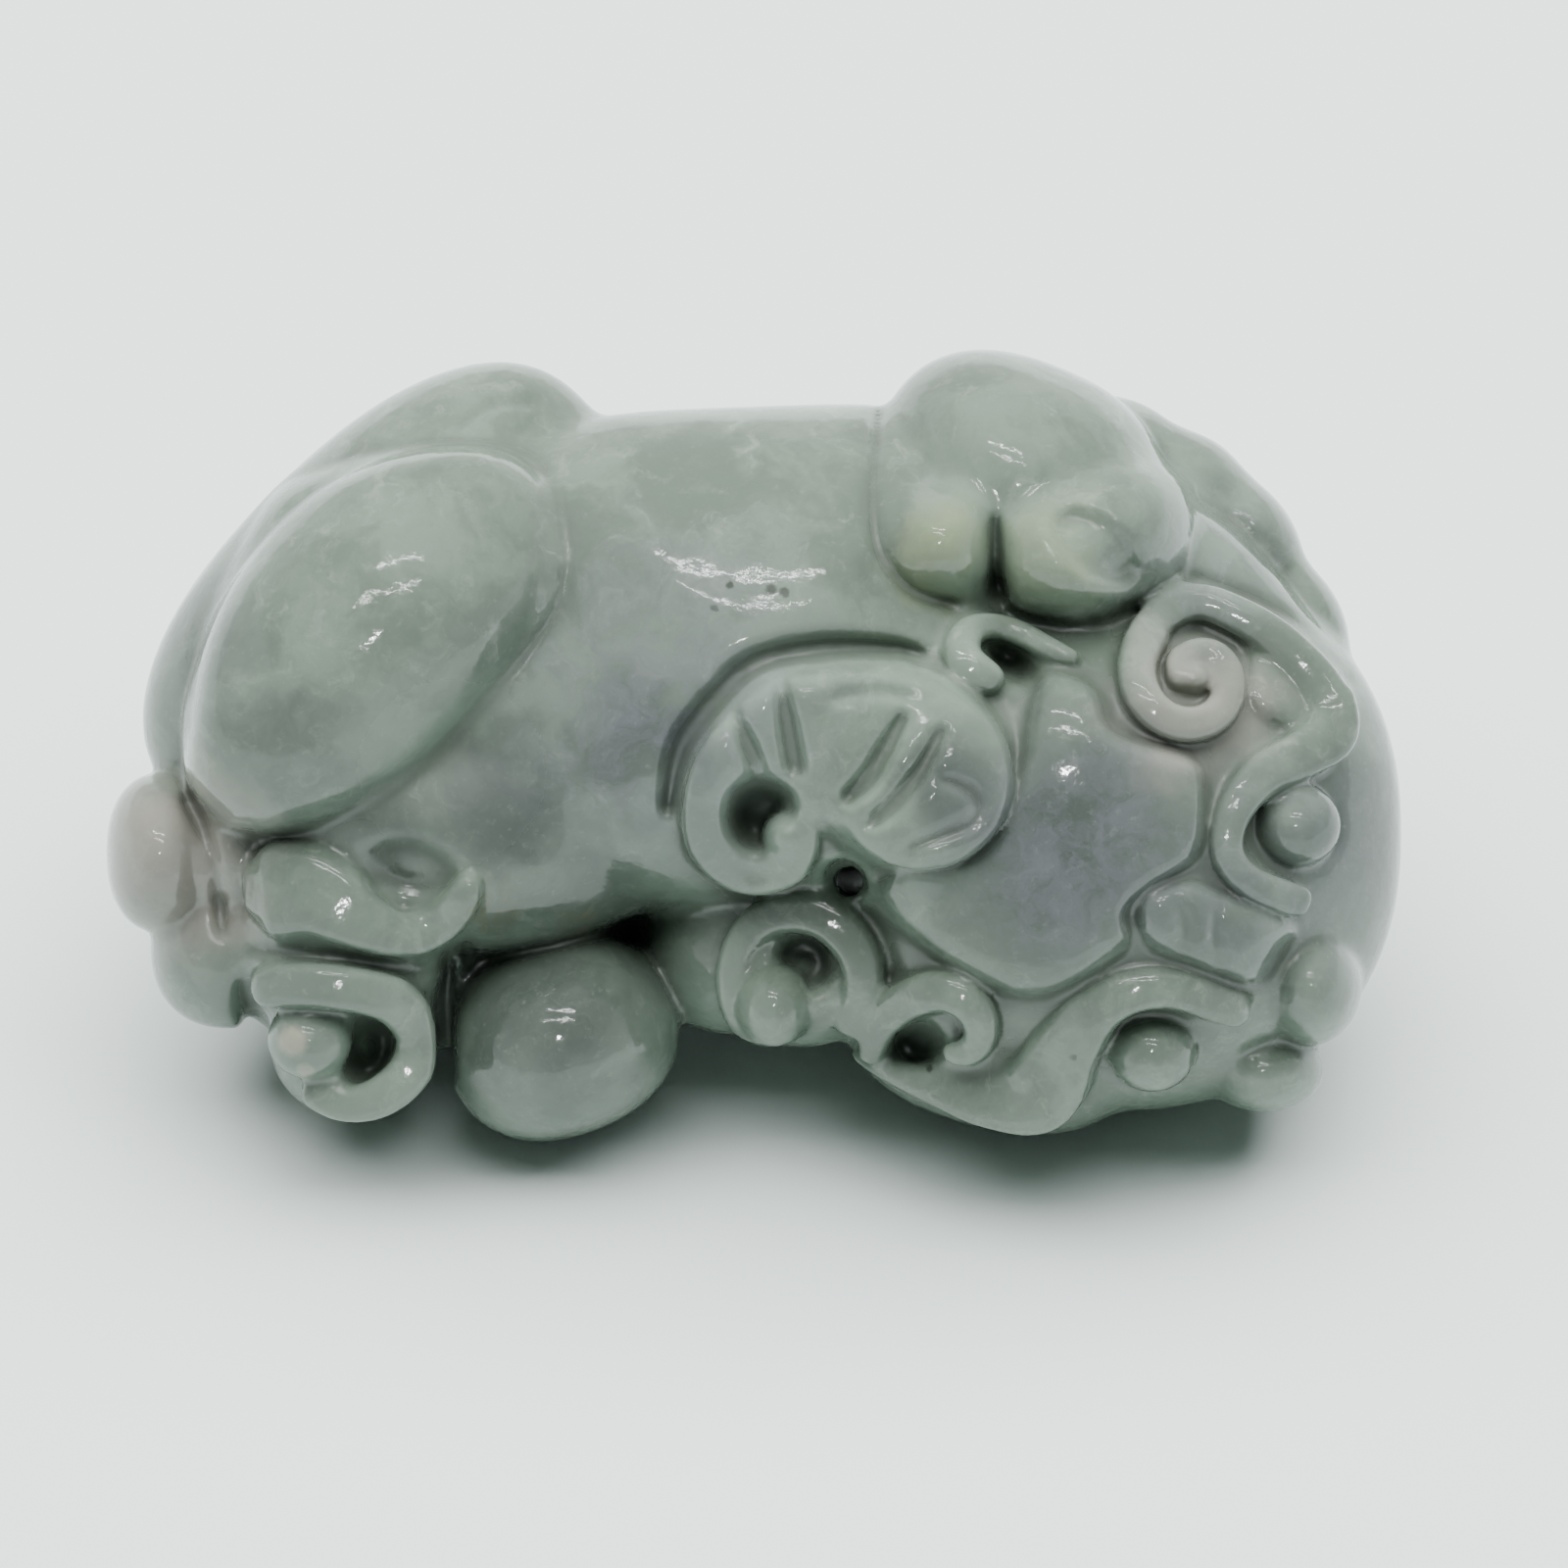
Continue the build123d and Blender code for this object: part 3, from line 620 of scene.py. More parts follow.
    def path_gap(self, path: np.ndarray,
                 closed: bool = False) -> tuple[np.ndarray, np.ndarray]:
        """Distance to a path over the plan, and the path's half width nearby.

        Args:
            path: Rows of u, v and perhaps a half width, in millimetres.
            closed: Whether the last row joins the first.

        Returns:
            The distance and the half width, over the plan.
        """
        u, v = self.plan
        ends = np.roll(path, -1, axis=0) if closed else path[1:]
        starts = path if closed else path[:-1]
        best = np.full(u.shape, FAR)
        width = np.full(u.shape, 1.0)
        for a, b in zip(starts, ends):
            run = b[:2] - a[:2]
            share = ((u - a[0]) * run[0] + (v - a[1]) * run[1]) / max(run @ run, 1e-12)
            share = np.clip(share, 0.0, 1.0)
            gap = np.hypot(u - a[0] - share * run[0], v - a[1] - share * run[1])
            closer = gap < best
            best = np.where(closer, gap, best)
            if path.shape[1] > 2:
                width = np.where(closer, a[2] + share * (b[2] - a[2]), width)
        return best, width

    def inside(self, path: np.ndarray) -> np.ndarray:
        """True where a place of the plan lies inside a closed path."""
        u, v = self.plan
        inside = np.zeros(u.shape, dtype=bool)
        for a, b in zip(path, np.roll(path, -1, axis=0)):
            crosses = (a[1] > v) != (b[1] > v)
            slope = (b[0] - a[0]) / (b[1] - a[1] if b[1] != a[1] else 1e-12)
            inside ^= crosses & (u < a[0] + (v - a[1]) * slope)
        return inside

    def path(self, places: Iterable[tuple[float, ...]], closed: bool = False) -> np.ndarray:
        """A smooth path through places of the tables, in millimetres."""
        rows = smooth_path(places, closed)
        scale = [self.sizes.length / 1000, self.sizes.width / 1000, self.sizes.width / 1000]
        return rows * scale[:rows.shape[1]]

    def raise_plan(self, height: np.ndarray, flank: Flank = Flank.SHOWN) -> None:
        """Raises one flank by a height over the plan; a negative height cuts in."""
        shows = self.shows if flank is Flank.SHOWN else 1 - self.shows
        used = np.argwhere(height != 0)
        if not len(used):
            return
        (i0, j0), (i1, j1) = used.min(axis=0), used.max(axis=0) + 1
        lift = height[i0:i1, j0:j1, None].astype(np.float32) * shows.astype(np.float32)
        self.field[i0:i1, j0:j1] -= lift

    def plate_height(self, plate: Plate) -> np.ndarray:
        """Height of a raised plate over the plan."""
        path = self.path(plate.outline, closed=True)
        gap, _ = self.path_gap(path, closed=True)
        run = np.clip(gap / (plate.edge * self.sizes.width / 1000), 0, 1)
        step = plate.rise * np.sqrt(np.clip(1 - (1 - run) ** 2, 0, 1))
        return np.where(self.inside(path), step, 0.0)

    def hollow_depth(self, hollow: Hollow) -> np.ndarray:
        """Depth of an oval hollow over the plan."""
        a, b = self.turned(*self.plan, self.sizes.place(hollow.along, hollow.across),
                           hollow.turn)
        reach = np.hypot(a / (hollow.long * self.sizes.length / 1000),
                         b / (hollow.wide * self.sizes.width / 1000))
        return hollow.depth * eased(hollow.wall * (1 - reach))

    def cut_depth(self, cut: Cut) -> np.ndarray:
        """Depth of a cut line over the plan."""
        gap, half = self.path_gap(self.path(cut.places))
        return cut.depth * eased(cut.wall * (1 - gap / half))

    def add_ball(self, ball: Ball, levels: np.ndarray) -> None:
        """Adds a dome whose top stands a rise over the ground."""
        place = self.sizes.place(ball.along, ball.across)
        ground = self.level_at(levels, np.array([place]))[0]
        mass = Mass(ball.name, ball.along, ball.across, 0, ball.long, ball.wide,
                    ball.tall * 1000 / self.sizes.depth, ball.turn, 2.0,
                    ball.soft / self.sizes.blend)
        self.add_mass(mass, ground + ball.rise - ball.tall)

    def lay_ribbon(self, ribbon: Ribbon, levels: np.ndarray, sweeper: RibbonSweep,
                   finish: bpy.types.Material) -> None:
        """Lays a swept ribbon on the ground.

        Args:
            ribbon: The ribbon, with its places in thousandths.
            levels: Levels of the ground over the plan.
            sweeper: What sweeps its section.
            finish: The stone's material.
        """
        path = self.path(ribbon.places)
        half = np.maximum(path[:, 2], self.thinnest)
        rows = 2 * self.ground_rows + 1
        ground = np.pad(self.level_at(levels, path), self.ground_rows, mode="edge")
        ground = np.convolve(ground, np.ones(rows) / rows, mode="valid")
        run = np.concatenate([[0], np.cumsum(np.hypot(*np.diff(path[:, :2], axis=0).T))])
        for distance in (run, run[-1] - run):
            near = np.clip(distance / (self.end_run * half), self.end_least, 1)
            half = half * np.sqrt(1 - (1 - near) ** 2)
        rise = ribbon.rise * np.sqrt(half / half.max())
        middle = ground + rise - ribbon.flatness * half
        points = np.column_stack([path[:, :2], middle])
        corners, triangles = sweeper.sweep(ribbon.name, points, half, ribbon.flatness, finish)
        self.join_mesh(corners, triangles, self.ribbon_seam)

    def join_mesh(self, corners: np.ndarray, triangles: np.ndarray, soft: float) -> None:
        """Adds a closed mesh with a slightly rounded seam."""
        scale = openvdb.createLinearTransform(voxelSize=self.voxel)
        grid = openvdb.FloatGrid.createLevelSetFromPolygons(
            corners, triangles=triangles, transform=scale, halfWidth=self.band)
        room = self.band * self.voxel
        window = self.window(corners.min(axis=0) - room, corners.max(axis=0) + room)
        apart = np.zeros([part.stop - part.start for part in window], np.float32)
        start = [first + part.start for first, part in zip(self.first, window)]
        grid.copyToArray(apart, ijk=tuple(start))
        self.join(window, apart, soft)

    def drill(self) -> None:
        """Drills the cord hole from its foot to its top, with a flat mouth at each end."""
        sizes = self.sizes
        top, foot = (np.array([*sizes.place(along, sizes.hole_across),
                               level * sizes.depth / 1000])
                     for along, level in (sizes.hole_top, sizes.hole_foot))
        length = np.linalg.norm(top - foot)
        way = (top - foot) / length
        room = np.array([*self.hole_room, sizes.depth])
        window = self.window(np.minimum(top, foot) - room, np.maximum(top, foot) + room)
        places = np.meshgrid(*(axis[part] for axis, part in zip(self.axes, window)),
                             indexing="ij")
        offset = np.stack(places, axis=-1) - foot
        up = offset @ way
        away = np.sqrt(np.maximum((offset ** 2).sum(axis=-1) - up ** 2, 0))
        mouth = np.minimum(sizes.mouth_radius - away, np.maximum(up - length, -up))
        cut = np.maximum(sizes.hole_radius - away, mouth).astype(np.float32)
        self.field[window] = np.maximum(self.field[window], cut)

    def polish(self, rounds: int) -> None:
        """Rounds the finest edges by averaging neighbouring voxels."""
        self.field = np.clip(self.field, -self.polish_depth, self.polish_depth)
        for _ in range(rounds):
            for axis in range(3):
                field = np.moveaxis(self.field, axis, 0)
                middle = field[1:-1] * 0.5 + (field[:-2] + field[2:]) * 0.25
                field[1:-1] = middle

    def blurred(self) -> np.ndarray:
        """The field averaged over a cube, for telling ridges from recesses."""
        reach = max(round(self.ridge_reach / self.voxel), 1)
        total = self.field
        for axis in range(3):
            field = np.moveaxis(total, axis, 0)
            run = np.cumsum(field, axis=0, dtype=np.float64)
            out = field.copy()
            side = 2 * reach + 1
            out[reach + 1:-reach] = (run[side:] - run[:-side]) / side
            total = np.moveaxis(out, 0, axis)
        return total

    def sampled(self, block: np.ndarray, points: np.ndarray) -> np.ndarray:
        """Values of a block of voxels at points, by straight interpolation."""
        place = points / self.voxel - np.array(self.first)
        place = np.clip(place, 0, np.array(block.shape) - 1.001)
        low = place.astype(int)
        share = place - low
        out = np.zeros(len(points))
        for i in (0, 1):
            for j in (0, 1):
                for k in (0, 1):
                    weight = np.prod(np.where([i, j, k], share, 1 - share), axis=1)
                    out += weight * block[low[:, 0] + i, low[:, 1] + j, low[:, 2] + k]
        return out

    def surface(self) -> tuple[np.ndarray, np.ndarray]:
        """The carved surface as corners, in millimetres, and four-sided faces."""
        edge = self.band * self.voxel
        grid = openvdb.FloatGrid(edge)
        grid.copyFromArray(np.clip(self.field, -edge, edge), ijk=tuple(self.first),
                           tolerance=1e-6)
        grid.transform = openvdb.createLinearTransform(voxelSize=self.voxel)
        corners, faces = grid.convertToQuads(isovalue=0.0)
        return self.largest(np.array(corners, dtype=float),
                            np.array(faces, dtype=np.int64))

    def largest(self, corners: np.ndarray,
                faces: np.ndarray) -> tuple[np.ndarray, np.ndarray]:
        """The largest connected part of a surface, wound so that it faces outwards."""
        label = np.arange(len(corners))
        while True:
            new = label.copy()
            np.minimum.at(new, faces.ravel(), np.repeat(label[faces].min(axis=1), 4))
            new = new[new]
            if (new == label).all():
                break
            label = new
        names, counts = np.unique(label[faces[:, 0]], return_counts=True)
        faces = faces[label[faces[:, 0]] == names[counts.argmax()]]
        used, order = np.unique(faces, return_inverse=True)
        corners, faces = corners[used], order.reshape(faces.shape)
        a, b, c, d = (corners[faces[:, k]] for k in range(4))
        volume = (np.einsum("ij,ij->", a, np.cross(b, c))
                  + np.einsum("ij,ij->", a, np.cross(c, d)))
        return corners, faces if volume > 0 else faces[:, ::-1]


@dataclass(frozen=True)
class SubAssembly:
    """A part of the animal: the forms that it is carved from, stage by stage."""

    name: str = "part"
    masses: tuple[Mass, ...] = ()
    plates: tuple[Plate, ...] = ()
    balls: tuple[Ball, ...] = ()
    ribbons: tuple[Ribbon, ...] = ()
    scrolls: tuple[Scroll, ...] = ()
    hollows: tuple[Hollow, ...] = ()
    cuts: tuple[Cut, ...] = ()

    def carve_masses(self, stone: Sculpture) -> None:
        """Adds its masses; those that rest come down to the ground."""
        lean = math.radians(stone.sizes.lean)
        for mass in self.masses:
            level = mass.level * stone.sizes.depth / 1000
            if mass.rests:
                low = mass.lowest(stone.sizes, level)
                level += (stone.ground_level - low) / math.sin(lean)
            stone.add_mass(mass, level)

    def relief_height(self, stone: Sculpture) -> np.ndarray:
        """Height of its plates over the plan."""
        height = np.zeros(stone.plan[0].shape)
        for plate in self.plates:
            height = np.maximum(height, stone.plate_height(plate))
        return height

    def lay_ribbons(self, stone: Sculpture, levels: np.ndarray, sweeper: RibbonSweep,
                    finish: bpy.types.Material) -> None:
        """Lays its ribbons and scrolls and sets its balls."""
        for ribbon in self.ribbons:
            stone.lay_ribbon(ribbon, levels, sweeper, finish)
        for scroll in self.scrolls:
            ribbon = Ribbon(scroll.name, scroll.rise, scroll.flatness,
                            scroll.places(stone.sizes))
            stone.lay_ribbon(ribbon, levels, sweeper, finish)
        for ball in self.balls:
            stone.add_ball(ball, levels)

    def sink_hollows(self, stone: Sculpture) -> None:
        """Sinks its hollows, before the ribbons and balls are set over them."""
        for hollow in self.hollows:
            stone.raise_plan(-stone.hollow_depth(hollow))

    def cut_in(self, stone: Sculpture) -> None:
        """Cuts its lines."""
        for flank in Flank:
            depth = np.zeros(stone.plan[0].shape)
            for cut in self.cuts:
                if cut.flank is flank:
                    depth = np.maximum(depth, stone.cut_depth(cut))
            stone.raise_plan(-depth, flank)


@dataclass(frozen=True)
class Body(SubAssembly):
    """The trunk, the loin and the haunches behind it."""

    name: str = "body"
    masses: tuple[Mass, ...] = (
        Mass("trunk", 2, 115, 0, 215, 315, 423, 2, 4.0, 1.0),
        Mass("loin", -150, 60, -30, 170, 255, 330, 0, 2.4, 1.5),
        Mass("rump", -290, 189, -68, 220, 190, 318, 45, 2.3, 1.0),
        Mass("haunch", -242, -83, -23, 174, 173, 318, -8, 2.2, 1.2),
        Mass("neck", 102, 4, 0, 174, 235, 391, -20, 2.4, 1.2),
        Mass("shoulder", 15, -243, -136, 106, 117, 250, 10, 2.2, 1.0),
    )


@dataclass(frozen=True)
class HiddenFlank(SubAssembly):
    """The flank that the stone lies on: the belly, the tucked feet and their toes."""

    name: str = "hidden flank"
    masses: tuple[Mass, ...] = (
        Mass("belly", -38, 53, -182, 196, 210, 295, 0, 2.2, 1.5),
        Mass("jaw", 309, -149, -250, 143, 198, 250, 0, 2.2, 1.5),
        Mass("hidden haunch", -159, -83, -227, 143, 185, 250, 10, 2.2, 1.2),
        Mass("hidden shoulder", 120, -107, -227, 151, 185, 250, 0, 2.2, 1.2),
        Mass("left hind foot", -332, 177, -273, 98, 117, 205, 35, 2.2, 0.8),
        Mass("left fore leg", 158, 300, -273, 113, 111, 205, 0, 2.2, 0.8),
        Mass("right hind foot", -189, -138, -450, 105, 101, 145, 0, 2.2, 0.8, rests=True),
        Mass("right fore foot", 143, -144, -450, 105, 101, 145, 0, 2.2, 0.8, rests=True),
        Mass("hidden rump", -290, -260, -182, 120, 130, 205, 0, 2.2, 0.8),
    )
    cuts: tuple[Cut, ...] = (
        Cut("hind toe line", 0.7, ((-275, -125, 8), (-235, -135, 8)), Flank.HIDDEN),
        Cut("hind toe line", 0.7, ((-275, -160, 8), (-235, -155, 8)), Flank.HIDDEN),
        Cut("fore toe line", 0.7, ((228, -125, 8), (190, -135, 8)), Flank.HIDDEN),
        Cut("fore toe line", 0.7, ((228, -160, 8), (190, -155, 8)), Flank.HIDDEN),
        Cut("upper fore toe line", 0.7, ((75, 290, 8), (40, 280, 8)), Flank.HIDDEN),
        Cut("upper fore toe line", 0.7, ((75, 320, 8), (40, 325, 8)), Flank.HIDDEN),
        Cut("upper hind toe line", 0.7, ((-270, 225, 8), (-235, 255, 8)), Flank.HIDDEN),
        Cut("upper hind toe line", 0.7, ((-290, 255, 8), (-260, 290, 8)), Flank.HIDDEN),
    )


@dataclass(frozen=True)
class Tail(SubAssembly):
    """The tail with its scroll, its curl and the pale lobe at the end."""

    name: str = "tail"
    masses: tuple[Mass, ...] = (
        Mass("tail root", -405, -250, -68, 61, 104, 205, 0, 2.3, 0.6),
        Mass("tail joint", -405, -125, -60, 60, 110, 240, 0, 2.2, 0.8),
        Mass("tail lobe", -456, -132, 10, 43, 101, 191, 0, 2.3, 0.5),
        Mass("scroll ground", -317, -237, 0, 98, 111, 227, 0, 2.2, 0.6),
        Mass("curl ground", -308, -362, -23, 66, 105, 205, 0, 2.2, 0.4),
    )
    hollows: tuple[Hollow, ...] = (
        Hollow("tail hook hollow", -262, -150, 48, 46, -10, 0.7),
        Hollow("tail curl hollow", -297, -378, 28, 62, -15, 1.8),
        Hollow("tail recess", -388, -325, 14, 50, 10, 0.7),
    )
    ribbons: tuple[Ribbon, ...] = (
        Ribbon("tail scroll", 1.7, 0.75, (
            (-391, -178, 35), (-365, -177, 60), (-332, -184, 58), (-304, -213, 40),
            (-276, -234, 29), (-248, -228, 27), (-226, -196, 24), (-215, -159, 14))),
        Ribbon("tail curl", 1.6, 1.0, (
            (-382, -303, 24), (-351, -296, 29), (-309, -300, 31), (-276, -318, 31),
            (-258, -359, 29), (-264, -405, 28), (-288, -439, 26), (-318, -447, 22),
            (-346, -428, 17))),
    )
    balls: tuple[Ball, ...] = (
        Ball("tail ball", -341, -366, 33, 50, 1.6, 1.8),
    )
    cuts: tuple[Cut, ...] = (
        Cut("tail edge", 0.4, ((-436, -66, 10), (-424, -100, 11), (-414, -144, 11),
                               (-409, -231, 11))),
        Cut("curl edge", 0.8, ((-236, -262, 10), (-238, -330, 11), (-236, -411, 10))),
        Cut("scroll edge", 0.35, ((-384, -251, 9), (-325, -262, 9), (-257, -275, 10),
                                 (-219, -249, 9))),
    )


@dataclass(frozen=True)
class Head(SubAssembly):
    """The head: forehead plate, nose, brows, eyes, cheeks, cheek band and mane."""

    name: str = "head"
    masses: tuple[Mass, ...] = (
        Mass("head", 268, -107, -68, 231, 352, 436, 0, 2.3, 1.0),
        Mass("forehead rise", 240, -15, 75, 145, 185, 300, 0, 2.2, 1.0),
        Mass("low brow", 181, -373, -45, 113, 105, 250, -15, 2.2, 0.6, rests=True),
        Mass("mane", 336, 236, -140, 125, 102, 190, -50, 2.2, 0.6),
        Mass("first mane lock", 290, 392, -160, 48, 46, 140, -26, 2.0, 0.9),
        Mass("second mane lock", 343, 347, -160, 42, 46, 150, -34, 2.0, 0.9),
        Mass("third mane lock", 387, 275, -160, 50, 46, 150, -54, 2.0, 0.9),
        Mass("fourth mane lock", 427, 162, -160, 50, 46, 150, -65, 2.0, 0.9),
        Mass("cheek band", 352, 160, -20, 140, 102, 215, -50, 2.2, 0.5),
        Mass("upper cheek", 427, -297, 60, 40, 78, 200, 0, 2.0, 0.3),
        Mass("lower cheek", 392, -405, -20, 46, 54, 170, 0, 2.0, 0.4),
    )
    plates: tuple[Plate, ...] = (
        Plate("forehead", 1.1, 25, (
            (220, 85), (258, 75), (276, 19), (333, -11), (344, -53), (338, -135),
            (300, -180), (284, -209), (282, -253), (203, -312), (102, -212),
            (107, -151), (173, -122), (200, -33))),
        Plate("brow plate", 0.6, 30, (
            (354, 184), (427, 147), (458, 80), (456, -1), (427, 6), (400, 28), (379, 58),
            (377, 117))),
        Plate("nose", 0.95, 30, (
            (291, -201), (304, -175), (332, -164), (354, -179), (411, -220),
            (406, -246), (384, -294), (354, -283), (322, -264), (298, -242))),
    )
    hollows: tuple[Hollow, ...] = (
        Hollow("brow curl hollow", 126, -372, 26, 36, 0, 1.4),
        Hollow("left eye socket", 410, -97, 44, 66, 0, 1.1),
        Hollow("right eye socket", 300, -375, 44, 62, 0, 1.1),
    )
    ribbons: tuple[Ribbon, ...] = (
        Ribbon("left brow", 1.4, 0.8, (
            (294, 128, 22), (313, 168, 24), (341, 186, 26), (372, 169, 28), (404, 136, 29),
            (431, 91, 30),
            (443, 47, 31), (440, 14, 33), (418, -9, 30), (386, -38, 27), (366, -83, 22),
            (361, -131, 20), (379, -168, 20), (423, -196, 21))),
        Ribbon("right brow", 1.5, 0.9, (
            (74, -383, 8), (98, -403, 13), (142, -426, 25), (180, -441, 37),
            (218, -430, 53), (240, -372, 42), (262, -327, 33), (289, -305, 27),
            (322, -302, 25), (354, -320, 24), (377, -333, 22))),
        Ribbon("brow curl", 1.7, 1.2, (
            (88, -390, 15), (98, -345, 22), (120, -314, 26), (147, -305, 26),
            (169, -327, 24), (173, -363, 20), (161, -383, 17), (145, -378, 12))),
    )
    scrolls: tuple[Scroll, ...] = (
        Scroll("brow spiral", 336, 88, 80, 14, 125, 1.25, 26, 13, 1.5, 1.0),
    )
    balls: tuple[Ball, ...] = (
        Ball("brow dome", 337, 86, 14, 22, 1.4, 1.5),
        Ball("left eye", 415, -97, 34, 53, 1.7, 1.9),
        Ball("right eye", 305, -380, 34, 52, 1.7, 1.9),
    )
    cuts: tuple[Cut, ...] = (
        Cut("mane edge", 0.25, ((334, 316, 7), (363, 291, 9), (391, 259, 10), (411, 221, 10),
                                (431, 180, 9), (448, 147, 7))),
        Cut("brow edge", 0.35, ((334, 214, 7), (363, 199, 10), (400, 170, 11), (431, 129, 10),
                                (456, 82, 7))),
        Cut("first nose line", 0.35, ((323, -194, 7), (329, -224, 7), (325, -253, 7))),
        Cut("second nose line", 0.35, ((354, -194, 7), (352, -231, 7), (354, -268, 7))),
    )


@dataclass(frozen=True)
class CrestAndEars(SubAssembly):
    """The ribbed crest with its disc and hook, and the two scroll ears."""

    name: str = "crest and ears"
    masses: tuple[Mass, ...] = (
        Mass("ear ground", 36, -278, -23, 65, 99, 227, 0, 2.2, 0.6),
    )
    plates: tuple[Plate, ...] = (
        Plate("crest", 1.5, 35, (
            (-54, -70), (-43, -5), (-15, 56), (9, 87), (50, 101), (105, 104), (140, 96),
            (172, 62), (195, 5), (195, -60), (178, -115), (148, -147), (105, -156),
            (70, -125), (48, -105), (40, -150), (15, -176), (-20, -168), (-46, -125))),
    )
    hollows: tuple[Hollow, ...] = (
        Hollow("left ear hollow", 197, 104, 27, 26, -35, 1.3),
        Hollow("crest hollow", 5, -82, 33, 60, -15, 2.3),
        Hollow("right ear hollow", 38, -272, 30, 50, -20, 1.7),
    )
    ribbons: tuple[Ribbon, ...] = (
        Ribbon("left ear", 1.3, 1.1, (
            (249, 110, 9), (228, 121, 15), (205, 141, 16), (183, 152, 16), (163, 143, 20),
            (158, 113, 23), (172, 93, 23), (190, 79, 15))),
        Ribbon("right ear", 1.6, 1.2, (
            (71, -354, 20), (83, -305, 25), (79, -256, 27), (57, -216, 28), (30, -205, 27),
            (3, -220, 24), (-15, -260, 20), (-17, -309, 20), (-5, -345, 22),
            (16, -358, 18))),
        Ribbon("crest curl", 0.4, 1.4, (
            (-15, 26, 22), (-34, -25, 24), (-40, -76, 26), (-34, -121, 28), (-15, -150, 28),
            (6, -157, 28), (28, -143, 26), (36, -111, 22), (25, -91, 18))),
    )
    balls: tuple[Ball, ...] = (
        Ball("disc", 128, -40, 70, 114, 0.6, 1.5),
        Ball("crest ball", 25, -109, 20, 32, 0.5, 2.4),
        Ball("right ear ball", 15, -322, 30, 54, 1.3, 2.0),
    )
    cuts: tuple[Cut, ...] = (
        Cut("crest line", 0.8, ((-66, -75, 10), (-56, 2, 20), (-24, 71, 22), (4, 107, 22),
                                (50, 123, 21), (100, 124, 15), (128, 116, 7))),
        Cut("first rib line", 0.7, ((-14, 40, 8), (-6, 8, 18), (2, -22, 22)), wall=1.0),
        Cut("second rib line", 0.8, ((20, 84, 9), (25, 30, 22), (31, -24, 26)),
            wall=1.0),
        Cut("third rib line", 0.8, ((114, 40, 8), (100, -3, 20), (87, -40, 26),
                                    (72, -62, 16)), wall=1.0),
        Cut("fourth rib line", 0.7, ((142, 20, 8), (127, -28, 18), (108, -66, 26),
                                     (89, -94, 14)), wall=1.0),
        Cut("disc mark", 0.5, ((142, -38, 8), (166, -54, 15), (170, -86, 17), (149, -104, 15),
                               (118, -124, 8)), wall=1.0),
        Cut("crest shoulder", 0.35, ((60, 62, 10), (92, 70, 14), (120, 62, 10)),
            wall=1.0),
    )


@dataclass(frozen=True)
class ForePaw(SubAssembly):
    """The big left fore paw with its two toes and the claw's hollow."""

    name: str = "fore paw"
    masses: tuple[Mass, ...] = (
        Mass("paw", 201, 338, -15, 113, 152, 327, -22, 2.4, 0.4),
        Mass("wrist", 267, 268, 60, 75, 108, 309, 0, 2.2, 1.0),
        Mass("inner toe", 142, 256, 235, 45, 76, 165, 0, 2.4, 1.2),
        Mass("outer toe", 237, 238, 235, 56, 78, 165, -8, 2.4, 1.2),
    )
    hollows: tuple[Hollow, ...] = (
        Hollow("claw hollow", 260, 250, 44, 42, -38, 0.5, wall=3.2),
    )
    cuts: tuple[Cut, ...] = (
        Cut("toe cleft", 0.5, ((184, 286, 6), (184, 262, 14), (185, 235, 19), (186, 198, 22)),
            wall=1.0),
        Cut("paw edge", 0.4, ((95, 420, 8), (92, 359, 10), (90, 300, 12), (96, 240, 14),
                              (118, 196, 14), (150, 180, 12))),
    )


@dataclass(frozen=True)
class Thighs(SubAssembly):
    """The two thighs that stand clear of the body."""

    name: str = "thighs"
    masses: tuple[Mass, ...] = (
        Mass("right thigh", -149, -364, -23, 92, 126, 236, 22, 2.2, 0.3, rests=True),
        Mass("left thigh", -292, 136, 140, 176, 160, 273, 45, 2.3, 0.25),
    )
    plates: tuple[Plate, ...] = (
        Plate("left thigh slab", 0.9, 35, (
            (-375, 309), (-330, 348), (-262, 375), (-200, 375), (-160, 338), (-148, 270),
            (-147, 212), (-161, 152), (-224, 28), (-280, -54), (-350, -103), (-405, -103),
            (-436, -46), (-430, 40), (-418, 160))),
    )
    cuts: tuple[Cut, ...] = (
        Cut("rump fold", 0.35, ((-227, 401, 7), (-201, 430, 8), (-170, 433, 7))),
    )


def colour(red: float, green: float, blue: float) -> tuple[float, float, float, float]:
    """A colour from screen values of 0 to 255, as Blender holds it."""
    out = []
    for part in (red, green, blue):
        share = part / 255
        out.append(share / 12.92 if share <= 0.04045 else ((share + 0.055) / 1.055) ** 2.4)
    return (*out, 1.0)


@dataclass(frozen=True)
class Zone:
    """A soft patch of colour or of polish, by its place and radius in millimetres."""

    name: str
    along: float
    across: float
    radius: float
    strength: float


@dataclass(frozen=True)
class Patches:
    """Zones that fade out over the same share of their radius, the edge."""

    edge: float
    zones: tuple[Zone, ...]

    def over(self, nodes: NodeMaker, place: bpy.types.NodeSocket) -> Number:
        """The strongest zone's cover at each place.

        Args:
            nodes: What adds the nodes.
            place: The place in the animal's frame, as a vector socket.

        Returns:
            The cover, from 0 to 1.
        """
        total: Number = 0.0
        for zone in self.zones:
            away = nodes.moved(place, (1.0, 1.0, 0.0), (-zone.along, -zone.across, 0.0))
            length = nodes.add("ShaderNodeVectorMath", {"operation": "LENGTH"}, {0: away})
            cover = Value(nodes, length.outputs["Value"]).eased(
                zone.radius, zone.radius * (1 - self.edge)) * zone.strength
            total = cover if isinstance(total, float) else total.highest(cover)
        return total


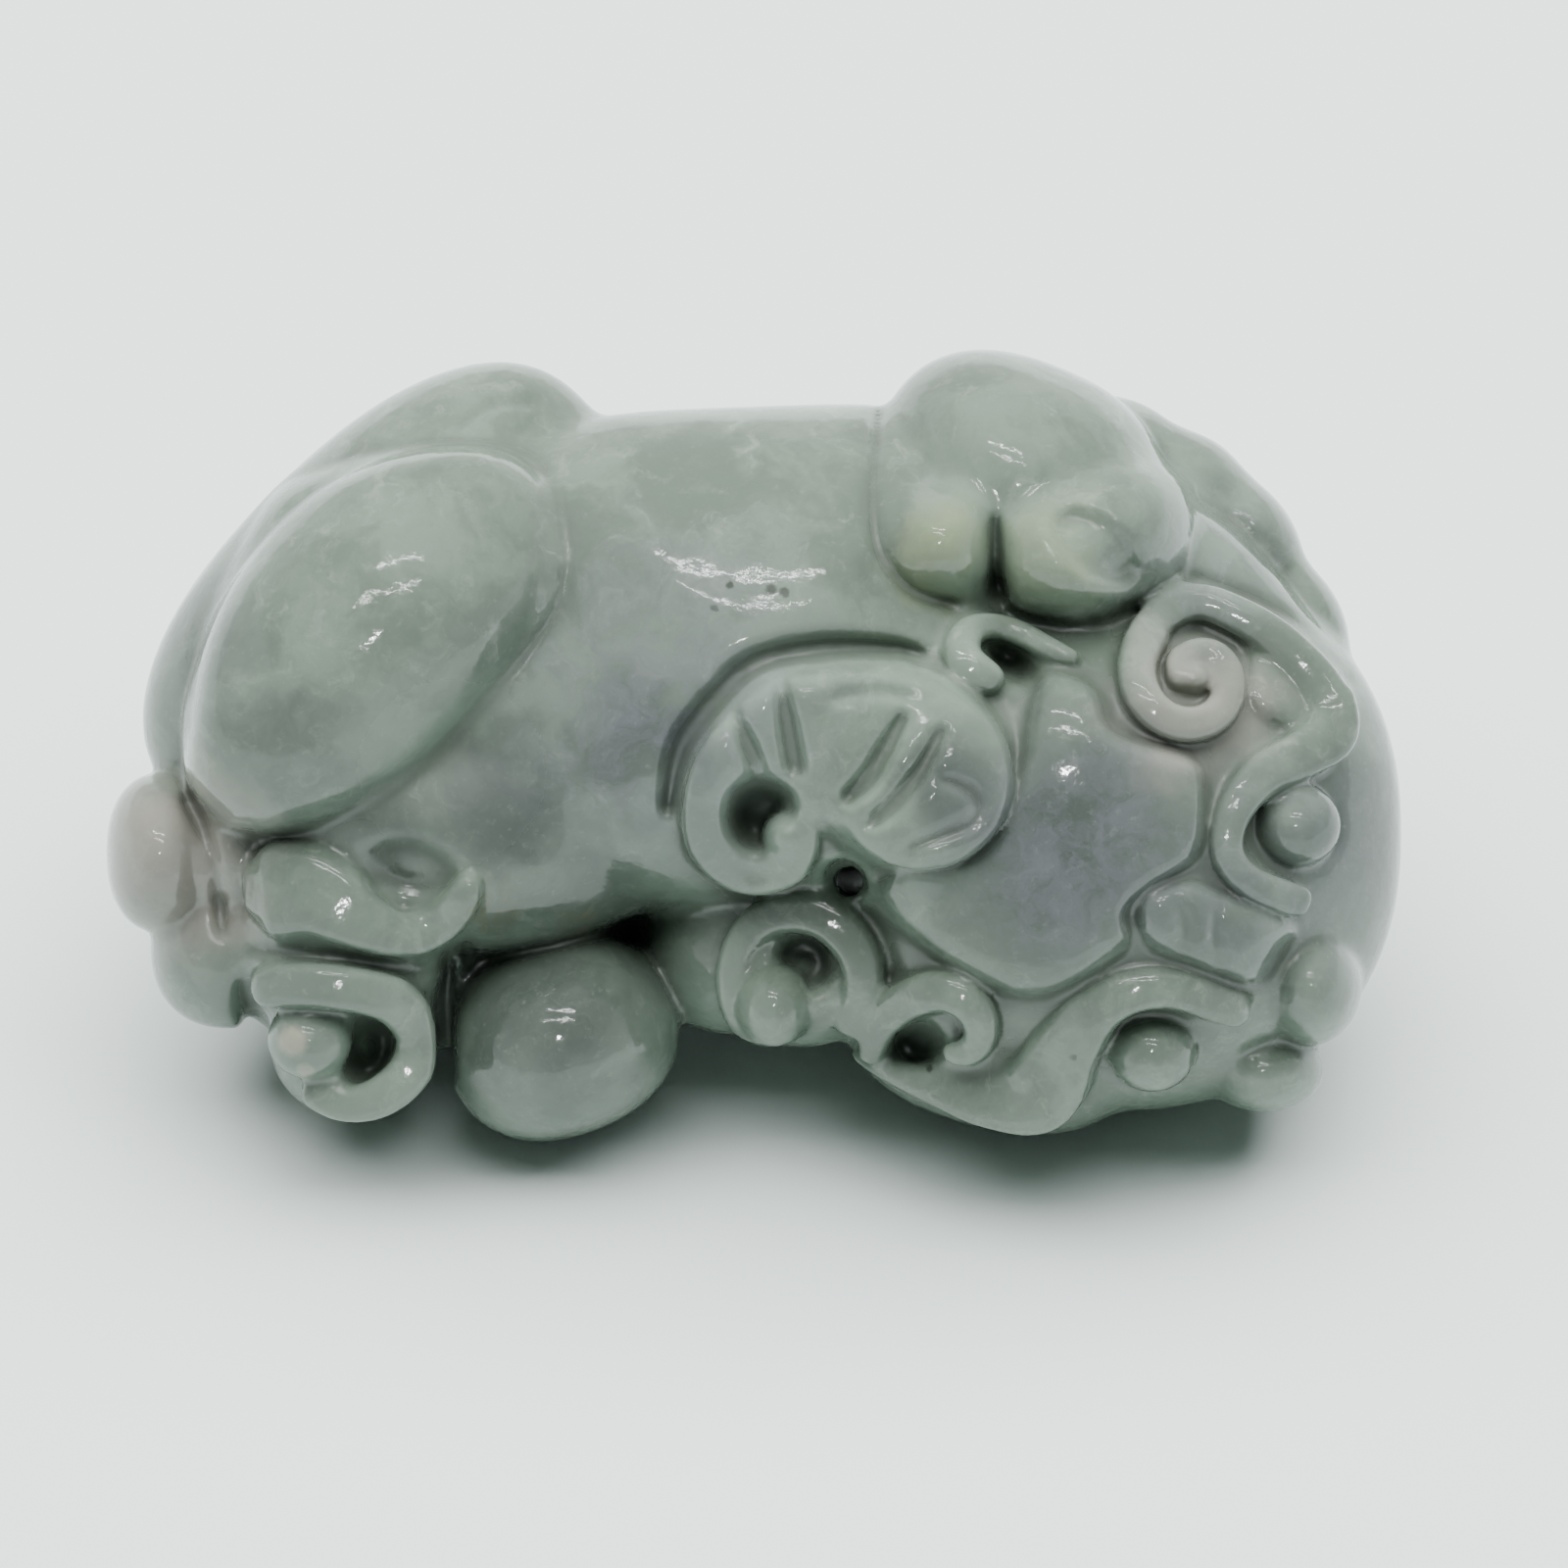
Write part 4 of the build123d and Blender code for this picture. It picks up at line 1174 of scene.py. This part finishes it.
@dataclass(frozen=True)
class Clouds:
    """A cloud noise: its grain per millimetre, its detail, roughness and twist."""

    scale: float
    detail: float
    rough: float = 0.5
    twist: float = 0.0

    def node(self, nodes: NodeMaker, place: bpy.types.NodeSocket) -> bpy.types.Node:
        """Its noise node over a place."""
        return nodes.add("ShaderNodeTexNoise", {}, {
            "Vector": place, "Scale": self.scale, "Detail": self.detail,
            "Roughness": self.rough, "Distortion": self.twist})

    def over(self, nodes: NodeMaker, place: bpy.types.NodeSocket) -> Value:
        """The noise from 0 to 1 over a place."""
        return Value(nodes, self.node(nodes, place).outputs["Fac"])

    def wavered(self, nodes: NodeMaker, place: bpy.types.NodeSocket,
                reach: float) -> bpy.types.NodeSocket:
        """A place that the noise moves about.

        Args:
            nodes: What adds the nodes.
            place: The place, as a vector socket.
            reach: How far it moves each way, in millimetres.

        Returns:
            The moved place.
        """
        colour_of_noise = self.node(nodes, place).outputs["Color"]
        shift = nodes.moved(colour_of_noise, 2 * reach, (-reach,) * 3)
        node = nodes.add("ShaderNodeVectorMath", {"operation": "ADD"}, {0: place, 1: shift})
        return node.outputs["Vector"]


@dataclass(frozen=True)
class Veil:
    """How far a value covers what lies below: from start to end, up to a share."""

    start: float
    end: float
    share: float = 1.0

    def over(self, value: Value) -> Value:
        """The cover that a value gives."""
        return value.eased(self.start, self.end) * self.share


@dataclass(frozen=True)
class JadeFinish:
    """Polished jadeite: cloudy grey green with lavender and pinkish zones.

    The colours lie over one another in the order that stone_colour gives. The drift
    moves the outlines of the large zones and the jitter those of the small ones. The
    depth values say how far light spreads under the surface.
    """

    green: tuple[float, float, float, float] = colour(108, 123, 110)
    deep: tuple[float, float, float, float] = colour(83, 95, 84)
    pale: tuple[float, float, float, float] = colour(139, 152, 139)
    lavender: tuple[float, float, float, float] = colour(105, 105, 115)
    blush: tuple[float, float, float, float] = colour(142, 134, 128)
    yellow: tuple[float, float, float, float] = colour(122, 135, 104)
    stain: tuple[float, float, float, float] = colour(96, 84, 56)
    speck: tuple[float, float, float, float] = colour(48, 50, 44)
    # Painted shade: the colour that darkens the recesses, standing in for the shade that
    # falls in them.
    painted_shade: tuple[float, float, float, float] = colour(62, 68, 60)
    chip: tuple[float, float, float, float] = colour(178, 172, 152)
    # Dark tone: on the forehead and nose the stone's own darker colour, elsewhere painted
    # shade on lower parts and beside grooves.
    dark_tone_and_shade: tuple[float, float, float, float] = colour(46, 51, 51)
    clouds: Clouds = Clouds(0.16, 5.0, 0.62)
    veins: Clouds = Clouds(0.55, 6.0, 0.68, 0.6)
    grain: Clouds = Clouds(2.2, 5.0, 0.7)
    ripples: Clouds = Clouds(0.9, 3.0)
    drift: Clouds = Clouds(0.35, 4.0)
    drift_reach: float = 2.5
    jitter: Clouds = Clouds(2.5, 2.0)
    jitter_reach: float = 0.2
    deep_clouds: Veil = Veil(0.38, 0.64, 0.8)
    pale_veins: Veil = Veil(0.52, 0.74, 0.45)
    lavender_veins: Veil = Veil(0.3, 0.6, 0.5)
    pale_grain: Veil = Veil(0.55, 0.85, 0.35)
    deep_grain: Veil = Veil(0.45, 0.2, 0.25)
    stain_veins: Veil = Veil(0.4, 0.6)
    recesses: Veil = Veil(0.0, -0.22)
    # How much painted shade the recesses get.
    recess_shade: float = 0.5
    roughness: float = 0.08
    recess_roughness: float = 0.25
    dull_grain: Veil = Veil(0.4, 0.8, 0.05)
    ripple_height: float = 0.00006
    ripple_strength: float = 0.6
    refraction: float = 1.6
    gloss: float = 0.45
    depth_share: float = 0.12
    depth_radius: tuple[float, float, float] = (0.9, 1.0, 0.85)
    depth_scale: float = 0.0009
    dull_zones: Patches = Patches(0.5, (
        Zone("loin valley", -12.0, -1.0, 5.0, 0.35),
    ))
    # Zones of dark tone: the forehead and nose zones are the stone's own colour; the disc,
    # trunk, haunch, thigh, tail and toe zones are painted shade.
    dark_tone_and_shade_zones: Patches = Patches(0.85, (
        Zone("forehead", 13.5, -3.5, 8.0, 0.75),
        Zone("brow base", 18.6, -1.5, 3.5, 0.4),
        Zone("disc", 8.0, -1.5, 4.0, 0.7),
        Zone("nose", 18.0, -7.0, 4.0, 0.6),
        Zone("cheek band", 24.7, -3.5, 6.5, 0.7),
        Zone("left eye", 21.6, -2.6, 2.5, 0.4),
        Zone("haunch", -9.8, -2.6, 4.5, 0.75),
        Zone("haunch end", -14.5, -4.0, 4.0, 0.5),
        Zone("trunk middle", -4.6, 0.2, 4.5, 0.65),
        Zone("trunk foot", -6.7, -5.4, 4.5, 0.55),
        Zone("right thigh", -8.2, -11.0, 7.0, 0.6),
        Zone("right ear", -2.0, -4.0, 3.5, 0.35),
        Zone("tail", -19.0, -9.5, 6.5, 0.35),
        Zone("thigh foot", -19.0, -0.6, 5.0, 0.4),
        Zone("thigh edge", -22.0, 4.4, 4.5, 0.45),
        Zone("toe", 6.0, 7.0, 2.0, 0.4),
    ))
    lavender_zones: Patches = Patches(0.8, (
        Zone("trunk", -3.5, 2.5, 9.0, 0.8),
        Zone("forehead", 13.0, -4.0, 7.0, 0.75),
        Zone("cheek", 22.0, -6.0, 8.0, 0.5),
        Zone("brow base", 18.0, 7.0, 5.0, 0.5),
    ))
    blush_zones: Patches = Patches(0.7, (
        Zone("tail lobe", -23.5, -4.5, 5.5, 0.6),
        Zone("brow spiral", 17.5, 2.0, 4.5, 0.45),
    ))
    yellow_zones: Patches = Patches(0.8, (
        Zone("inner toe", 7.5, 8.0, 3.0, 0.7),
        Zone("outer toe", 12.0, 7.5, 3.0, 0.4),
    ))
    stain_zones: Patches = Patches(0.9, (
        Zone("trunk foot", -10.5, -6.3, 1.6, 0.5),
        Zone("trunk foot", -7.0, -6.9, 1.2, 0.35),
    ))
    specks: Patches = Patches(0.6, (
        Zone("trunk speck", -1.0, 6.4, 0.22, 0.8),
        Zone("trunk speck", 0.7, 6.25, 0.3, 0.7),
        Zone("trunk speck", 1.2, 6.15, 0.25, 0.7),
        Zone("trunk speck", -1.6, 5.5, 0.22, 0.6),
        Zone("brow speck", 7.0, -12.8, 0.22, 0.8),
        Zone("cheek speck", 12.7, -12.3, 0.2, 0.7),
    ))
    chips: Patches = Patches(0.6, (
        Zone("tail ball chip", -18.4, -11.7, 0.8, 0.4),
        Zone("tail ball chip", -17.9, -12.9, 0.45, 0.3),
    ))

    def animal_place(self, nodes: NodeMaker, sizes: StoneSizes) -> bpy.types.NodeSocket:
        """The place in the animal's frame, in millimetres.

        Args:
            nodes: What adds the nodes.
            sizes: The stone's sizes, for the turn of its own frame.

        Returns:
            The place, as a vector socket.
        """
        place = nodes.add("ShaderNodeTexCoord").outputs["Object"]
        lying = nodes.moved(place, 1000.0, tuple(-x for x in sizes.set_down))
        turned = nodes.add("ShaderNodeMapping", {"vector_type": "POINT"}, {
            "Vector": lying, "Rotation": (math.radians(sizes.lean - 90), 0.0, 0.0)})
        return turned.outputs["Vector"]

    def stone_colour(self, nodes: NodeMaker, place: bpy.types.NodeSocket, grain: Value,
                     recess: Value) -> bpy.types.NodeSocket:
        """The jade's colour, with painted shade in its recesses and dark zones, mixed from
        its deepest layer upwards.

        Args:
            nodes: What adds the nodes.
            place: The place in the animal's frame.
            grain: The finest noise.
            recess: 1 in the recesses and 0 elsewhere.

        Returns:
            The colour, as a socket.
        """
        drifting = self.drift.wavered(nodes, place, self.drift_reach)
        ragged = self.jitter.wavered(nodes, place, self.jitter_reach)
        clouds = self.clouds.over(nodes, drifting)
        veins = self.veins.over(nodes, drifting)
        layers = [
            (self.deep_clouds.over(clouds), self.deep),
            (self.pale_veins.over(veins), self.pale),
            # Dark tone, partly the stone's colour and partly painted shade.
            (self.dark_tone_and_shade_zones.over(nodes, drifting), self.dark_tone_and_shade),
            (self.lavender_zones.over(nodes, drifting) * self.lavender_veins.over(veins),
             self.lavender),
            (self.blush_zones.over(nodes, drifting), self.blush),
            (self.yellow_zones.over(nodes, drifting), self.yellow),
            (self.pale_grain.over(grain), self.pale),
            (self.deep_grain.over(grain), self.deep),
            # Painted shade in the recesses.
            (recess * self.recess_shade, self.painted_shade),
            (self.stain_zones.over(nodes, ragged) * self.stain_veins.over(veins),
             self.stain),
            (self.specks.over(nodes, ragged), self.speck),
            (self.chips.over(nodes, ragged), self.chip),
        ]
        base: Any = self.green
        for cover, layer in layers:
            base = nodes.mixed(cover, base, layer)
        return base

    def material(self, sizes: StoneSizes) -> bpy.types.Material:
        """Builds the jade material.

        Args:
            sizes: The stone's sizes, for the turn of its own frame.

        Returns:
            The material.
        """
        made = bpy.data.materials.new("Polished jade")
        made.use_nodes = True
        nodes = NodeMaker(made.node_tree)
        place = self.animal_place(nodes, sizes)
        grain = self.grain.over(nodes, place)
        relief = nodes.add("ShaderNodeAttribute", {"attribute_name": "relief"})
        recess = self.recesses.over(Value(nodes, relief.outputs["Fac"]))
        roughness = (self.roughness + recess * self.recess_roughness
                     + self.dull_grain.over(grain) + self.dull_zones.over(nodes, place))
        bump = nodes.add("ShaderNodeBump", {}, {
            "Height": self.ripples.over(nodes, place) * self.ripple_height,
            "Strength": self.ripple_strength, "Distance": 1.0})
        shader = nodes.add("ShaderNodeBsdfPrincipled", {}, {
            "Base Color": self.stone_colour(nodes, place, grain, recess),
            "Roughness": roughness, "IOR": self.refraction,
            "Specular IOR Level": self.gloss, "Normal": bump.outputs["Normal"],
            "Subsurface Weight": self.depth_share, "Subsurface Radius": self.depth_radius,
            "Subsurface Scale": self.depth_scale})
        nodes.add("ShaderNodeOutputMaterial", {"is_active_output": True},
                  {"Surface": shader.outputs["BSDF"]})
        return made


@dataclass(frozen=True)
class Pixiu:
    """The whole carved stone."""

    sizes: StoneSizes = StoneSizes()
    parts: tuple[SubAssembly, ...] = (
        Body(), HiddenFlank(), Head(), Tail(), CrestAndEars(), ForePaw(), Thighs())
    finish: JadeFinish = JadeFinish()
    voxel: float = 0.17
    quick_voxel: float = 0.28
    most_triangles: int = 192000
    ground_softness: float = 0.5
    polish_rounds: int = 2

    def ground_level(self) -> float:
        """Height of the head's lowest point before the stone is set down."""
        head = next(mass for part in self.parts for mass in part.masses
                    if mass.name == "head")
        return head.lowest(self.sizes, head.level * self.sizes.depth / 1000)

    def carve(self, material: bpy.types.Material) -> Sculpture:
        """Carves the stone, stage by stage.

        Args:
            material: The stone's finish.

        Returns:
            The carved block.
        """
        stone = Sculpture(self.sizes, self.voxel)
        stone.ground_level = self.ground_level()
        for part in self.parts:
            part.carve_masses(stone)
            log.info("%s: %d %s", part.name, len(part.masses), Stage.MASSES.value)
        height = np.zeros(stone.plan[0].shape)
        for part in self.parts:
            height = np.maximum(height, part.relief_height(stone))
        stone.raise_plan(height)
        levels = stone.softened(stone.top_levels(), self.ground_softness)
        log.info("%s: up to %.1f mm", Stage.PLATES.value, height.max())
        for part in self.parts:
            part.sink_hollows(stone)
        log.info("%s sunk", Stage.HOLLOWS.value)
        sweeper = RibbonSweep()
        for part in self.parts:
            part.lay_ribbons(stone, levels, sweeper, material)
        log.info("%s laid", Stage.RIBBONS.value)
        for part in self.parts:
            part.cut_in(stone)
        log.info("%s cut", Stage.LINES.value)
        stone.drill()
        stone.polish(self.polish_rounds)
        return stone

    def thin(self, piece: bpy.types.Object) -> None:
        """Thins a piece's mesh to the most triangles that it may have."""
        mesh = piece.data
        triangles = 2 * len(mesh.polygons)
        if triangles <= self.most_triangles:
            return
        thinning = piece.modifiers.new("Thin", "DECIMATE")
        thinning.ratio = self.most_triangles / triangles
        bpy.context.view_layer.update()
        graph = bpy.context.evaluated_depsgraph_get()
        piece.data = bpy.data.meshes.new_from_object(piece.evaluated_get(graph))
        piece.modifiers.remove(thinning)
        bpy.data.meshes.remove(mesh)

    def build(self) -> bpy.types.Object:
        """Builds the dressed stone.

        Returns:
            Its object, in metres in the row frame.
        """
        material = self.finish.material(self.sizes)
        stone = self.carve(material)
        corners, faces = stone.surface()
        log.info("surface: %d faces", len(faces))
        rough = bpy.data.meshes.new("rough stone")
        rough.from_pydata(corners.tolist(), [], faces.tolist())
        piece = bpy.data.objects.new("carved_stone", rough)
        bpy.context.collection.objects.link(piece)
        self.thin(piece)
        mesh = piece.data
        mesh.name = "carved_stone"
        flat = np.empty(len(mesh.vertices) * 3, np.float32)
        mesh.vertices.foreach_get("co", flat)
        points = flat.reshape(-1, 3).astype(float)
        relief = stone.sampled(stone.blurred(), points)
        layer = mesh.attributes.new("relief", "FLOAT", "POINT")
        layer.data.foreach_set("value", relief.astype(np.float32))
        lying = self.sizes.lying(points) / 1000
        mesh.vertices.foreach_set("co", lying.astype(np.float32).ravel())
        mesh.polygons.foreach_set("use_smooth", np.ones(len(mesh.polygons), dtype=bool))
        mesh.materials.clear()
        mesh.materials.append(material)
        mesh.update()
        log.info("%s: %d faces, lowest %.3f mm", piece.name, len(mesh.polygons),
                 lying[:, 2].min() * 1000)
        return piece


@dataclass(frozen=True)
class SoftBox:
    """An area light, by the direction that it comes from, in degrees and metres.

    A mirrored light only shows in reflections, and any other only lights the forms.
    """

    name: str
    azimuth: float
    elevation: float
    distance: float
    width: float
    height: float
    power: float
    mirrored: bool = False
    roll: float = 0.0

    def hang(self, middle: Vector) -> None:
        """Hangs the light so that it points at a place.

        Args:
            middle: The place, in metres.
        """
        light = bpy.data.lights.new(self.name, "AREA")
        light.shape = "RECTANGLE"
        light.size, light.size_y = self.width, self.height
        light.energy = self.power
        holder = bpy.data.objects.new(self.name, light)
        holder.visible_glossy = self.mirrored
        holder.visible_diffuse = not self.mirrored
        azimuth, elevation = math.radians(self.azimuth), math.radians(self.elevation)
        back = Vector((math.sin(azimuth) * math.cos(elevation),
                       -math.cos(azimuth) * math.cos(elevation), math.sin(elevation)))
        holder.location = middle + back * self.distance
        holder.rotation_mode = "QUATERNION"
        roll = Quaternion((0.0, 0.0, 1.0), math.radians(self.roll))
        holder.rotation_quaternion = (-back).to_track_quat("-Z", "Y") @ roll
        bpy.context.collection.objects.link(holder)


@dataclass(frozen=True)
class Studio:
    """A pale floor, soft light and the camera, in metres.

    The camera aims at a place of the animal's frame, in millimetres. The sky has a
    strength for lighting and a brighter one for reflections, with haze at its foot.
    """

    floor_size: float = 3.0
    floor_tint: tuple[float, float, float, float] = colour(223, 235, 232)
    floor_roughness: float = 0.6
    camera_distance: float = 0.8
    sensor_width: float = 36.0
    frame_width: float = 0.0628
    clip: tuple[float, float] = (0.05, 20.0)
    aim_along: float = 1.18
    aim_across: float = -1.45
    sky_tint: tuple[float, float, float, float] = colour(232, 238, 240)
    sky: float = 0.06
    mirrored_sky: float = 0.75
    haze: Veil = Veil(0.7, -0.1, 0.9)
    light_aim: tuple[float, float, float] = (0.0, 0.0, 0.012)
    lights: tuple[SoftBox, ...] = (
        SoftBox("ceiling", 180, 78, 1.0, 1.8, 1.2, 56.0),
        SoftBox("first tube", -25, 80, 0.9, 0.5, 0.007, 1.2, mirrored=True, roll=8.0),
        SoftBox("second tube", -11, 67, 0.9, 0.5, 0.006, 0.9, mirrored=True, roll=-2.0),
        SoftBox("first lamp", -3.5, 44, 0.9, 0.016, 0.016, 0.5, mirrored=True),
        SoftBox("second lamp", -0.3, 45.4, 0.9, 0.012, 0.012, 0.22, mirrored=True),
    )

    def lay_floor(self) -> bpy.types.Object:
        """Makes the floor."""
        half = self.floor_size / 2
        mesh = bpy.data.meshes.new("floor")
        mesh.from_pydata([(-half, -half, 0), (half, -half, 0), (half, half, 0),
                          (-half, half, 0)], [], [(0, 1, 2, 3)])
        material = bpy.data.materials.new("Pale floor")
        material.use_nodes = True
        nodes = NodeMaker(material.node_tree)
        shader = nodes.add("ShaderNodeBsdfPrincipled", {}, {
            "Base Color": self.floor_tint, "Roughness": self.floor_roughness})
        nodes.add("ShaderNodeOutputMaterial", {}, {"Surface": shader.outputs["BSDF"]})
        mesh.materials.append(material)
        floor = bpy.data.objects.new("floor", mesh)
        bpy.context.collection.objects.link(floor)
        return floor

    def hang_lights(self) -> None:
        """Hangs the lights."""
        for box in self.lights:
            box.hang(Vector(self.light_aim))

    def spread_sky(self) -> None:
        """Sets the sky."""
        world = bpy.data.worlds.new("Pale room")
        world.use_nodes = True
        nodes = NodeMaker(world.node_tree)
        mirrored = Value(nodes, nodes.add("ShaderNodeLightPath").outputs["Is Glossy Ray"])
        way = nodes.add("ShaderNodeSeparateXYZ", {}, {
            "Vector": nodes.add("ShaderNodeTexCoord").outputs["Generated"]})
        haze = self.haze.over(Value(nodes, way.outputs["Z"]))
        strength = mirrored * (self.mirrored_sky + haze) + (1 - mirrored) * self.sky
        back = nodes.add("ShaderNodeBackground", {},
                         {"Color": self.sky_tint, "Strength": strength})
        nodes.add("ShaderNodeOutputWorld", {}, {"Surface": back.outputs["Background"]})
        bpy.context.scene.world = world

    def set_camera(self, sizes: StoneSizes) -> None:
        """Sets the camera square to the flank that shows.

        Args:
            sizes: The stone's sizes.
        """
        lean = math.radians(sizes.lean)
        back = Vector((0.0, -math.cos(lean), math.sin(lean)))
        aim = sizes.lying(np.array([[self.aim_along, self.aim_across, 0.0]]))[0] / 1000
        data = bpy.data.cameras.new("camera")
        data.sensor_width = self.sensor_width
        data.lens = self.sensor_width * self.camera_distance / self.frame_width
        data.clip_start, data.clip_end = self.clip
        camera = bpy.data.objects.new("camera", data)
        camera.location = Vector(aim) + back * self.camera_distance
        camera.rotation_mode = "QUATERNION"
        camera.rotation_quaternion = (-back).to_track_quat("-Z", "Y")
        bpy.context.collection.objects.link(camera)
        bpy.context.scene.camera = camera


def main() -> None:
    """Builds the stone and its studio in order."""
    logging.basicConfig(level=logging.INFO, format="%(message)s")
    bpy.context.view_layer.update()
    pixiu = Pixiu()
    piece = pixiu.build()
    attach(piece, "root")
    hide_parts("jade_pixiu")
    studio = Studio()
    studio.lay_floor()
    studio.hang_lights()
    studio.spread_sky()
    studio.set_camera(pixiu.sizes)


if __name__ == "__main__":
    main()
